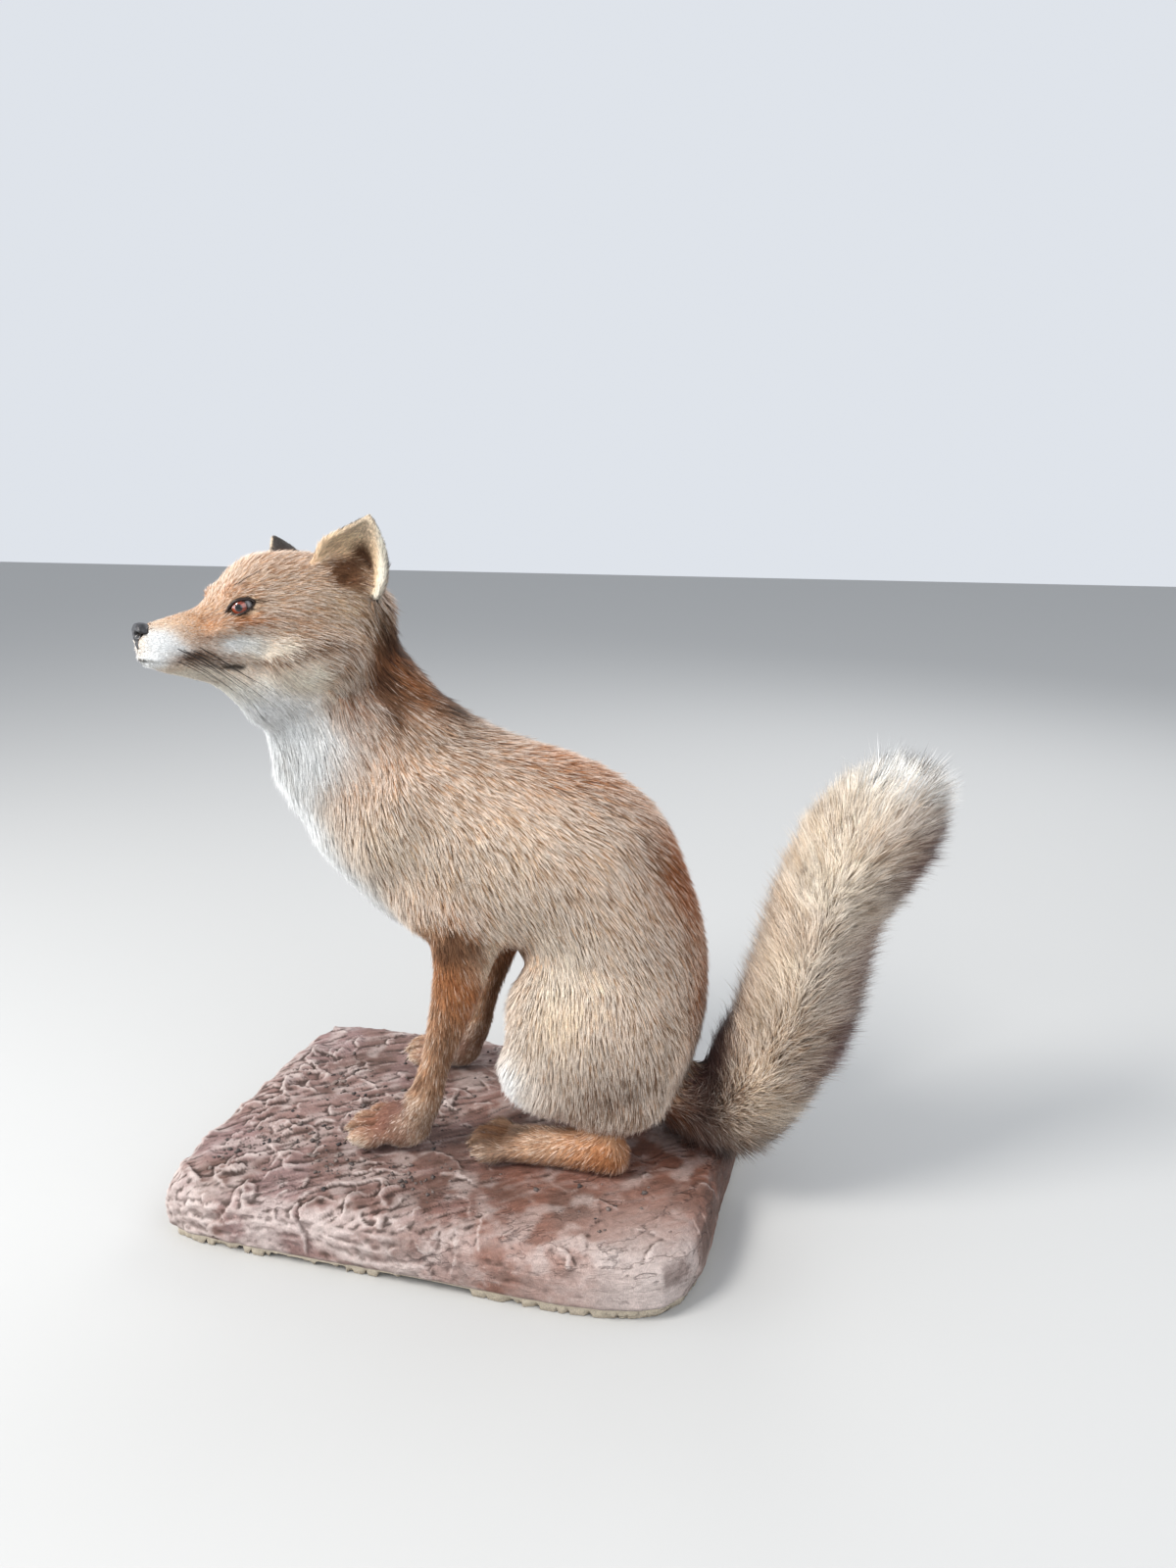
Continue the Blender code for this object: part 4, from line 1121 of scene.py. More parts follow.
class FoxGroundSettings(bpy.types.PropertyGroup):
    flakes: IntProperty(name="Flakes", description="Raised flakes in the plaster", default=150, min=0)
    flake_height: FloatProperty(
        name="Flake height", description="Height of the tallest flake", default=0.0030, unit="LENGTH")
    stones: IntProperty(name="Stones", description="Bits of gravel by the paws", default=420, min=0)
    clay: FloatVectorProperty(
        name="Clay", description="Paint over most of the ground", default=(0.270, 0.170, 0.150), size=3,
        subtype="COLOR")
    umber: FloatVectorProperty(
        name="Umber", description="Darker, redder paint", default=(0.125, 0.070, 0.052), size=3,
        subtype="COLOR")
    plaster: FloatVectorProperty(
        name="Plaster", description="Bare plaster where the paint is worn", default=(0.60, 0.52, 0.49),
        size=3, subtype="COLOR")


class FoxStageSettings(bpy.types.PropertyGroup):
    key_power: FloatProperty(name="Key light", description="Power of the key light", default=52.0, min=0.0)
    fill_power: FloatProperty(name="Fill light", description="Power of the fill light", default=14.0, min=0.0)
    lens: FloatProperty(name="Lens", description="Focal length in millimetres", default=25.875, min=1.0)
    floor: FloatVectorProperty(
        name="Floor", description="Colour of the floor", default=(0.46, 0.46, 0.455), size=3, subtype="COLOR")


# Operators --------------------------------------------------------------------------------------------

def fused_skin():
    """One skin around all the solids of the body, finer at the face and feet."""
    skin = new_object("skin", swollen_copy(WHOLE_BODY, WELD))
    remeshed(skin, SKIN_VOXEL)
    points = points_of(skin.data)
    head = to_head(points)
    face = (head[:, 0] > -0.004) & (head[:, 2] > -0.055)
    feet = (points[:, 2] < 0.085) & (points[:, 2] > SLAB_TOP) & (points[:, 0] < 0.125)
    in_edit_mode(skin, bpy.ops.mesh.subdivide, face | feet, number_cuts=1)
    head = to_head(points_of(skin.data))
    gaps = [np.linalg.norm(head - EYE_CENTRE * np.array((1, side, 1)), axis=1) for side, _ in SIDES]
    eyes = (np.minimum(*gaps) < 0.0165) & (head[:, 0] > 0.06)
    in_edit_mode(skin, bpy.ops.mesh.subdivide, eyes, number_cuts=1)
    in_edit_mode(skin, bpy.ops.mesh.quads_convert_to_tris)
    in_edit_mode(skin, bpy.ops.mesh.decimate, ratio=SKIN_KEEP)
    return skin


def draw_in(mesh, names, on_head):
    """Smooths the skin, draws it in by the coat's depth and parts the toes; returns where they part."""
    points = points_of(mesh)
    rounds = by_node(SMOOTHING, names)
    for k in range(rounds.max()):
        active = rounds > k
        points[active] = spread(mesh, points, 1)[active]
    set_points(mesh, points)
    normals = normals_of(mesh)
    head = to_head(points)
    ruff = 1 + 1.3 * bell(np.abs(head), (0.03, 0.045, 0.045), (0.04, 0.03, 0.03))
    muzzle = 1 - 0.66 * ramp(head[:, 0], 0.085, 0.125)
    depth = spread(mesh, by_node(COAT_DEPTH, names), 16) * (1 + (ruff * muzzle - 1) * on_head)
    points -= normals * depth[:, None]
    points[:, 2] = np.maximum(points[:, 2], SLAB_TOP - 0.0005)
    points = spread(mesh, points, 1)
    # The throat runs on smoothly from the jaw
    throat = bell(to_head(points), (0.070, 0.0, -0.085), (0.034, 0.050, 0.034))[:, None]
    points += (spread(mesh, points, 60) - points) * np.minimum(1, 1.6 * throat)
    toe_gap = parted_toes(points)
    rise = swelling(folded(points, MIDLINE_Y), BODY_FOLDS) - 0.0042 * toe_gap
    set_points(mesh, points + normals * rise[:, None])
    return toe_gap


def store_hair(mesh, names, on_head, toe_gap, bare):
    """Keeps with the skin how its hair lies, how long, wide and dense it is, and how it ends."""
    points, normals = points_of(mesh), normals_of(mesh)
    face = folded(to_head(points))
    _, _, corner, height = mouth_marks(face)
    hair = by_node(HAIR, names)
    length = spread(mesh, hair[:, 0], 10)
    width, lift, pale, dark = spread(mesh, hair[:, 1:], 6).T
    muzzle = 1 - 0.66 * ramp(face[:, 0], 0.070, 0.118) * on_head
    ruff = 1 + 0.5 * on_head * ramp(face[:, 0], 0.05, 0.01) * ramp(face[:, 2], 0.0, -0.03)
    length *= muzzle * ruff * (1 - 0.6 * corner * np.exp(-(height / 0.005) ** 2) * on_head)
    length *= 1 - 0.7 * toe_gap
    for side, label in SIDES:
        own = owned(names, "ear_" + label)
        up, across, inward = ear_place(to_head(points[own]), directions_to_head(normals[own]), side)
        front = (1 - ramp(across, -0.3, 0.1)) * ramp(inward, -0.2, 0.2)
        length[own] *= (1 + 0.35 * front * (1 - ramp(up, 0.4, 0.8))) * (1 - 0.55 * ramp(up, 0.6, 1.0))
        length[own] *= 1 - 0.45 * ear_hollow(up, across) * ramp(inward, 0, 0.3)
    # Longer on the throat and the tail's tip, and shorter before the ear
    length *= 1 + 0.5 * bell(face, (0.074, 0.0, -0.088), (0.022, 0.04, 0.022))
    length *= 1 + 0.5 * bell(points, (0.315, TAIL_Y, 0.352), (0.035, 0.05, 0.028))
    length *= 1 - 0.7 * bell(face, (0.015, 0.042, 0.017), (0.014, 0.014, 0.011)) * on_head
    density = (1 - 0.98 * ramp(bare, 0.15, 0.6)) * (1 + 1.2 * (1 - muzzle)) * ~owned(names, "nose")
    for name, values in (
        ("lay", lay_of_coat(mesh, points, normals, names)), ("length", length), ("lift", lift),
        ("width", width * (1 - 0.3 * (1 - muzzle))), ("density", density), ("pale", pale), ("dark", dark),
        ("region", sum(k * owned(names, *starts) for k, starts in enumerate(REGIONS.values()))),
    ):
        store(mesh, name, values)


class FOX_OT_skin(bpy.types.Operator):
    """Fuses the solids of flesh into one skin, draws it in by the coat's depth and sculpts the face"""
    bl_idname = "fox.skin"
    bl_label = "Skin"

    def execute(self, context):
        skin = fused_skin()
        mesh = skin.data
        names = owners_of(points_of(mesh))
        on_head = spread(mesh, owned(names, "head").astype(float), 4)
        toe_gap = draw_in(mesh, names, on_head)
        lid = 1 - ramp(sculpted_face(mesh, names), 0.0006, 0.0022)
        lip, crease = mouth_marks(folded(to_head(points_of(mesh))))[:2]
        colours = spread(mesh, markings(points_of(mesh), normals_of(mesh), names), 2)
        soot, brown = colour_of("soot"), colour_of("brown")
        lay_on(colours, soot, lid)
        lay_on(colours, soot, lip * 0.95)
        # Painted shade along the crease of the cheek
        lay_on(colours, brown, crease * 0.85)
        # Painted shade in the gaps between the toes
        lay_on(colours, brown * 0.5, 0.95 * toe_gap)
        colours[owned(names, "nose")] = soot
        set_vertex_colours(mesh, "coat", colours)
        store_hair(mesh, names, on_head, toe_gap, np.maximum(lid, lip))
        paint = Paint("skin", 0.85, 0.2)
        shade = paint.fade(paint.noise(700, 3), 0.3, 0.7, 0.55, 0.85)
        paint.colour(paint.mix(1.0, paint.attribute("coat"), shade, "MULTIPLY"))
        paint.bump(paint.noise(1100, 3), 0.0006, 0.8)
        finish_piece(skin, paint.material, "body_coat", *FLESH)
        return {"FINISHED"}


class FOX_OT_coat(bpy.types.Operator):
    """Grows the coat from the skin, piece by piece"""
    bl_idname = "fox.coat"
    bl_label = "Coat"

    def execute(self, context):
        settings = context.scene.fox_coat
        skin = bpy.data.objects.get("skin")
        if skin is None:
            raise RuntimeError("make the skin before the coat")
        region, left = np.rint(stored(skin.data, "region")), points_of(skin.data)[:, 1] < MIDLINE_Y
        hair = hair_paint("hair", 0.62, settings.sheen)
        for name, slot, place, side, share, habit in COAT:
            wanted = region == list(REGIONS).index(place)
            if side:
                wanted &= left == (side > 0)
            coat = grow(name, skin, wanted, int(settings.piece_triangles * share), settings.disorder, habit)
            finish_piece(coat, hair, slot)
        return {"FINISHED"}


class FOX_OT_eyes(bpy.types.Operator):
    """Makes the glass eyes, with a cornea that stands out, and a painted iris"""
    bl_idname = "fox.eyes"
    bl_label = "Eyes"

    def glass(self, settings):
        """Glass with the iris painted on a map whose unit circle is the iris's edge"""
        paint = Paint("eye_glass", 0.16, 0.5)
        paint.set("Coat Weight", 1.0)
        paint.set("Coat IOR", 1.5)
        paint.set("Coat Roughness", 0.02)
        flat = paint.node("ShaderNodeUVMap")
        flat.uv_map = "iris"
        plane = flat.outputs["UV"]
        distance = paint.node("ShaderNodeVectorMath", Vector=plane)
        distance.operation = "LENGTH"
        radius = distance.outputs["Value"]
        # Streaks that run out from the pupil: noise over the direction alone
        outward = paint.node("ShaderNodeVectorMath", Vector=plane)
        outward.operation = "NORMALIZE"
        streaks = paint.noise(9.0, 4.0, 0.7, outward.outputs["Vector"])
        iris = tuple(settings.iris)
        bright = tuple(min(1.0, 1.8 * value) for value in iris)
        deep = tuple(0.30 * value for value in iris)
        colour = paint.mix(paint.fade(streaks, 0.35, 0.65), deep, bright)
        colour = paint.mix(paint.fade(radius, 0.55, 0.75, 0.0, 0.8), iris, colour)
        colour = paint.mix(paint.fade(radius, 0.80, 1.0), colour, (0.03, 0.012, 0.004))
        edge = settings.pupil / settings.iris_radius
        colour = paint.mix(paint.fade(radius, edge - 0.05, edge + 0.05), (0.004, 0.003, 0.003), colour)
        # Towards the outer corner the glass beyond the iris is painted pale grey: a painted reflection of the
        # sky
        apart = paint.node("ShaderNodeSeparateXYZ", Vector=plane).outputs["X"]
        white = paint.mix(paint.fade(apart, 0.95, 1.25), (0.035, 0.022, 0.016), (0.30, 0.28, 0.28))
        colour = paint.mix(paint.fade(radius, 0.98, 1.08), colour, white)
        paint.colour(colour)
        return paint.material

    def execute(self, context):
        settings = context.scene.fox_face
        glass = self.glass(settings)
        for side, label in SIDES:
            centre, along, upward, gaze, _ = eye_axes(side)
            ball = primitive(bpy.ops.mesh.primitive_uv_sphere_add, segments=64, ring_count=32,
                             radius=EYE_RADIUS)
            ball.name = ball.data.name = "glass_eye_" + label
            points = points_of(ball.data)
            # The pole of the ball looks along the gaze
            a, b, c = points.T
            c = c + 0.0007 * (1 - ramp(np.hypot(a, b), 0.0, settings.iris_radius * 1.1)) * (c > 0)
            local = a[:, None] * along + b[:, None] * upward * side + c[:, None] * gaze
            set_points(ball.data, from_head(centre + local))
            layer = ball.data.uv_layers.active
            layer.name = "iris"
            plan = np.stack([a, b], axis=1) / settings.iris_radius * np.where(c > 0, 1.0, 3.0)[:, None]
            corners = read(ball.data.loops, "vertex_index", kind=np.int32)
            layer.uv.foreach_set("vector", plan[corners].astype(np.float32).ravel())
            select_only(ball)
            bpy.ops.object.shade_smooth()
            face_outwards(ball)
            finish_piece(ball, glass, "eye_glass", "eye_" + label)
        return {"FINISHED"}


class FOX_OT_lids(bpy.types.Operator):
    """Makes the dark rims of the eyelids, drawn out at the inner corner"""
    bl_idname = "fox.lids"
    bl_label = "Eyelids"

    def execute(self, context):
        steps, around = 72, 10
        paint = Paint("lid_rim", 0.42, 0.4)
        paint.colour(paint.mix(paint.noise(900, 3), (0.018, 0.012, 0.010), (0.045, 0.030, 0.024)))
        paint.bump(paint.noise(1500, 2), 0.0002)
        for side, label in SIDES:
            centre, along, upward, gaze, half = eye_axes(side)
            turn = np.linspace(0, 2 * math.pi, steps, endpoint=False)
            a = np.cos(turn) * half
            upper = np.sin(turn) > 0
            rise = np.where(upper, lid_height(a, half, True), lid_height(a, half, False))
            b = np.where(upper, 1, -1) * rise
            c = np.sqrt(np.maximum((EYE_RADIUS + 0.0005) ** 2 - a * a - b * b, CORNER_DEPTH ** 2))
            path = centre + a[:, None] * along + b[:, None] * upward + c[:, None] * gaze + gaze * 0.0002
            for _ in range(2):
                path = 0.5 * path + 0.25 * (np.roll(path, 1, axis=0) + np.roll(path, -1, axis=0))
            forward = unit(np.roll(path, -1, axis=0) - np.roll(path, 1, axis=0))
            out = unit(path - centre)
            sideways = np.cross(forward, out)
            thick = np.where(upper, 0.00115, 0.00065) * (1 + 0.45 * ramp(np.cos(turn), -0.5, -0.9))
            rings = []
            for k in range(around):
                angle = 2 * math.pi * k / around
                rings.append(path + out * (np.sin(angle) * thick * 0.8)[:, None]
                             + sideways * (np.cos(angle) * thick)[:, None])
            points = from_head(np.stack(rings, axis=1).reshape(-1, 3))
            name = "lid_rim_" + label
            rim = new_object(name, mesh_from(name, points, np.array(tube_faces(steps, around, closed=True))))
            face_outwards(rim)
            finish_piece(rim, paint.material, "nose_leather")
        return {"FINISHED"}


# Middle of each nostril, from its hole out and back along its slit, on the left in the head's frame
NOSTRIL = ((0.1530, 0.0044, -0.0160), (0.1512, 0.0070, -0.0160), (0.1478, 0.0090, -0.0180))
NOSTRIL_DEPTH, NOSTRIL_RADIUS = 0.0030, 0.0017


class FOX_OT_nose(bpy.types.Operator):
    """Makes the nose pad, with its nostrils, the groove below them and its pebbled leather"""
    bl_idname = "fox.nose"
    bl_label = "Nose"

    def execute(self, context):
        nose = new_object("nose_pad", swollen_copy(["nose"], 0.0003))
        remeshed(nose, 0.00042)
        mesh = nose.data
        points = spread(mesh, points_of(mesh), 14)
        set_points(mesh, points)
        head = to_head(points)
        # A flat front, and narrower below
        head[:, 0] -= 0.6 * np.maximum(head[:, 0] - 0.1512, 0)
        head[:, 1] *= 1 - 0.30 * ramp(head[:, 2], -0.0165, -0.0245)
        set_points(mesh, from_head(head))
        normals, face = directions_to_head(normals_of(mesh)), folded(head)
        gap = np.full(len(face), 1.0)
        for first, second in zip(NOSTRIL, NOSTRIL[1:]):
            first, second = np.array(first), np.array(second)
            line = second - first
            t = np.clip((face - first) @ line / (line @ line), 0, 1)
            gap = np.minimum(gap, np.linalg.norm(face - first - t[:, None] * line, axis=1))
        hole = np.exp(-(gap / NOSTRIL_RADIUS) ** 2)
        groove = np.exp(-(face[:, 1] / 0.0006) ** 2)
        groove = groove * ramp(head[:, 2], -0.0125, -0.0165) * ramp(head[:, 0], 0.148, 0.151)
        wing = np.exp(-((gap - 0.0028) / 0.0012) ** 2)
        rise = -NOSTRIL_DEPTH * hole - 0.0009 * groove + 0.0004 * wing
        set_points(mesh, from_head(head + normals * rise[:, None]))
        # Painted shade: darker in the nostrils and in the groove below them
        shade = 1 - 0.9 * np.clip(hole * 1.3, 0, 1) - 0.5 * groove
        set_vertex_colours(mesh, "shade", np.clip(shade, 0.04, 1)[:, None] * np.ones(3))
        paint = Paint("nose_leather", 0.33, 0.6)
        pebbles = paint.node("ShaderNodeTexVoronoi", Vector=paint.place(), Scale=1500.0)
        mottle = paint.fade(paint.noise(300, 3), 0.35, 0.65)
        base = paint.mix(mottle, (0.018, 0.017, 0.019), (0.050, 0.049, 0.054))
        paint.colour(paint.mix(1.0, base, paint.attribute("shade"), "MULTIPLY"))
        paint.bump(pebbles.outputs["Distance"], 0.0002, 0.7)
        finish_piece(nose, paint.material, "nose_leather", "nose")
        return {"FINISHED"}


class FOX_OT_whiskers(bpy.types.Operator):
    """Makes the whiskers, which sweep back and down from the pads of the muzzle, and the brow bristles"""
    bl_idname = "fox.whiskers"
    bl_label = "Whiskers"

    def execute(self, context):
        settings = context.scene.fox_face
        skin = bpy.data.objects["skin"]
        tree = surface_tree(skin)
        rng = np.random.default_rng(11)
        paint = Paint("whisker", 0.35, 0.5)
        paint.colour(paint.mix(paint.noise(60, 1), (0.012, 0.009, 0.008), (0.040, 0.028, 0.022)))
        hairs = []
        for side, _ in SIDES:
            for k in range(settings.whiskers):
                row, place = divmod(k, 4)
                stray = rng.normal(0, 1, 4)
                start = (0.1290 - 0.0050 * place + 0.0012 * stray[0],
                         -0.0290 - 0.0032 * row + 0.0010 * stray[1])
                heading = Vector((-0.80, side * (0.28 - 0.03 * place), -0.46 - 0.05 * row))
                heading = heading + Vector((0, stray[2], stray[3])) * 0.07
                length = settings.whisker_length * (0.45 + 0.55 * (place + 1) / 4) * rng.uniform(0.6, 1.1)
                hairs.append((side, start, heading, length, rng.uniform(0.00028, 0.00042)))
            for k in range(3):
                start = (0.0930 - 0.004 * k, 0.0105 + 0.002 * k)
                hairs.append((side, start, Vector((-0.75, side * 0.45, 0.55)), 0.020 + 0.005 * k, 0.00018))
        points, faces = [], []
        for hair in hairs:
            whisker(tree, *hair, points, faces)
        obj = new_object("whiskers", mesh_from("whiskers", np.array(points), np.array(faces)))
        face_outwards(obj)
        finish_piece(obj, paint.material, "head_coat")
        return {"FINISHED"}


def whisker(tree, side, start, heading, length, radius, points, faces):
    """One tapered hair from where a ray from beside the head, at (x, z), meets the skin, bending down."""
    turn = HEAD.to_3x3()
    inward = (turn @ Vector((0, -side, 0))).normalized()
    hit = tree.ray_cast(HEAD @ Vector((start[0], side * 0.05, start[1])), inward)[0]
    if hit is None:
        raise RuntimeError("a whisker finds no skin")
    direction = (turn @ heading.normalized()).normalized()
    bend = Vector((0, 0, -0.14))
    steps, around = 7, 5
    first = len(points)
    across = direction.orthogonal().normalized()
    other = direction.cross(across)
    for i in range(steps):
        t = i / steps
        middle = hit - direction * 0.001 + direction * (length * t) + bend * (length * t * t)
        size = radius * (1 - t) ** 0.8
        for k in range(around):
            angle = 2 * math.pi * k / around
            points.append(tuple(middle + (across * math.cos(angle) + other * math.sin(angle)) * size))
    tip = len(points)
    points.append(tuple(hit + direction * length + bend * length))
    faces += tube_faces(steps, around, first=first)
    last = first + (steps - 1) * around
    faces += [(last + k, last + (k + 1) % around, tip) for k in range(around)]
    faces += [(first, first + k + 1, first + k) for k in range(1, around - 1)]


class FOX_OT_claws(bpy.types.Operator):
    """Makes the claws, one on each toe, curved and worn blunt"""
    bl_idname = "fox.claws"
    bl_label = "Claws"

    def execute(self, context):
        model = primitive(bpy.ops.mesh.primitive_cone_add, vertices=12, radius1=0.0021, radius2=0.0005,
                          depth=1.0, end_fill_type="NGON")
        in_edit_mode(model, bpy.ops.mesh.subdivide, number_cuts=5)
        shape, triangles = shape_of(model)
        points, faces = [], []
        for side, _ in SIDES:
            for (x, out, up), spacing, lengths, claw_length in (FOREFOOT, HINDFOOT):
                slip = RIGHT_SLIP if side < 0 and x < 0 else 0.0
                knuckles = np.array((x - slip, MIDLINE_Y - side * out, SLAB_TOP + up))
                for k, length in enumerate(lengths):
                    fan = math.radians((k - 1.5) * TOE_FAN)
                    ahead = np.array((-math.cos(fan), math.sin(fan), 0))
                    root = knuckles + np.array((0, (k - 1.5) * spacing, 0)) + ahead * (length - 0.006)
                    t = shape[:, 2] + 0.5
                    across = np.array((math.sin(fan), math.cos(fan), 0))
                    path = root + ahead * (t * claw_length)[:, None]
                    path[:, 2] += 0.0015 * np.sin(t * 2.4) - 0.0070 * t * t
                    place = path + across * (shape[:, 0] * 0.8)[:, None]
                    place[:, 2] += shape[:, 1] * 1.15
                    place[:, 2] = np.maximum(place[:, 2], SLAB_TOP + 0.0002)
                    faces.append(triangles + len(points) * len(shape))
                    points.append(place)
        obj = new_object("claws", mesh_from("claws", np.concatenate(points), np.concatenate(faces)))
        face_outwards(obj)
        paint = Paint("claw_horn", 0.38, 0.5)
        bands = paint.noise(900, 3, 0.6, paint.stretched(1, 3, 1))
        paint.colour(paint.mix(paint.fade(bands, 0.35, 0.65), (0.035, 0.024, 0.018), (0.12, 0.085, 0.06)))
        paint.bump(bands, 0.0001)
        finish_piece(obj, paint.material, "nose_leather")
        return {"FINISHED"}


# Where the fore and hind feet stand: middle (x, out from the midline) and half lengths
FOOTPRINTS = ((-0.052, 0.064, 0.040, 0.026), (0.070, 0.058, 0.072, 0.026))


class FOX_OT_ground(bpy.types.Operator):
    """Makes the painted plaster ground with its raised flakes, edges pale from wear and from a painted
    highlight, and board below
    """
    bl_idname = "fox.ground"
    bl_label = "Ground"

    def execute(self, context):
        settings = context.scene.fox_ground
        ground = new_object("groundwork", swollen_copy(["base"], -0.0012))
        remeshed(ground, 0.0016)
        mesh = ground.data

        def flattened_below():
            bpy.ops.mesh.bisect(plane_co=(0, 0, 0.0016), plane_no=(0, 0, 1), use_fill=True, clear_inner=True)
            bpy.ops.mesh.select_all(action="SELECT")
            bpy.ops.mesh.quads_convert_to_tris()

        in_edit_mode(ground, flattened_below)
        points = spread(mesh, points_of(mesh), 3)
        low = points[:, 2] < 0.003
        set_points(mesh, points)
        normals = normals_of(mesh)
        rise, edge_wear_and_highlight = plaster_relief(points, normals, settings)
        # The relief is low under the feet and the seat
        calm = ramp(np.hypot((points[:, 0] - 0.15) / 0.05, (points[:, 1] - MIDLINE_Y) / 0.06), 0.7, 1.2)
        for side, _ in SIDES:
            for x, out, half_x, half_y in FOOTPRINTS:
                gap_x = np.abs(points[:, 0] - x) / half_x
                gap_y = np.abs(points[:, 1] - MIDLINE_Y + side * out) / half_y
                calm = np.minimum(calm, ramp(np.maximum(gap_x, gap_y), 0.8, 1.25))
        rise = np.where(points[:, 2] > SLAB_TOP - 0.004, np.minimum(rise, 0.0003 + rise * calm), rise)
        rise[low] = 0
        moved = points + normals * rise[:, None]
        moved[:, 2] = np.where(low, np.maximum(points[:, 2], 0.0), np.maximum(moved[:, 2], 0.0008))
        moved[low, 2] = 0.0
        set_points(mesh, moved)
        proud = rise - spread(mesh, rise, 10)
        colours = plaster_colours(moved, normals_of(mesh), proud, edge_wear_and_highlight, settings)
        set_vertex_colours(mesh, "paint", colours)
        finish_piece(ground, self.plaster(), "groundwork", "base")
        return {"FINISHED"}

    def plaster(self):
        """Painted plaster that takes its colour from the mesh, with fine flakes and scratches, and painted
        shade at the foot of each flake
        """
        paint = Paint("painted_plaster", 0.52, 0.4)
        # Fine flakes: noise cut into thin steps, each with painted shade at its foot
        fine = paint.noise(230, 6, 0.65)
        shade = paint.fade(fine, 0.3, 0.7, 0.84, 1.14)
        colour = paint.mix(1.0, paint.attribute("paint"), shade, "MULTIPLY")
        height = paint.math("MULTIPLY", fine, 0.30)
        for scale, steps, worth, patch in ((15.0, 6.0, 0.8, 7.0), (48.0, 4.0, 0.45, 12.0)):
            level = paint.noise(scale, 5, 0.58, paint.stretched(0.6, 1.3, 2.4, 35))
            mask = paint.fade(paint.noise(patch, 2), 0.48, 0.60)
            step = paint.math("FRACT", paint.math("MULTIPLY", level, steps))
            lip = paint.math("MULTIPLY", paint.fade(step, 0.0, 0.06), paint.fade(step, 0.70, 0.06))
            rise = paint.math("MULTIPLY", paint.math("MULTIPLY", lip, worth), mask)
            height = paint.math("ADD", height, rise)
            foot = paint.math("MULTIPLY", paint.fade(step, 0.92, 1.0, 0.0, 0.75 * worth), mask)
            colour = paint.mix(foot, colour, (0.045, 0.028, 0.024))
        # Scratches of the trowel
        scratches = paint.noise(700, 4, 0.7, paint.stretched(9.0, 1.0, 1.0, 20))
        colour = paint.mix(1.0, colour, paint.fade(scratches, 0.32, 0.68, 0.66, 1.30), "MULTIPLY")
        height = paint.math("ADD", height, paint.math("MULTIPLY", scratches, 0.5))
        paint.colour(colour)
        paint.bump(height, 0.0012, 1.0)
        return paint.material


def trowelled(points, degrees, length, width, seed):
    """Streaky noise, as of a trowel drawn over the plaster in that direction."""
    turn = math.radians(degrees)
    along = points[:, 0] * math.cos(turn) + points[:, 1] * math.sin(turn)
    aside = points[:, 1] * math.cos(turn) - points[:, 0] * math.sin(turn)
    bent = aside + 0.012 * (grain(points, 0.05, seed + 7) - 0.5)
    return layered(np.stack([along / length, bent / width, points[:, 2] / width], axis=1), 1.0, seed)


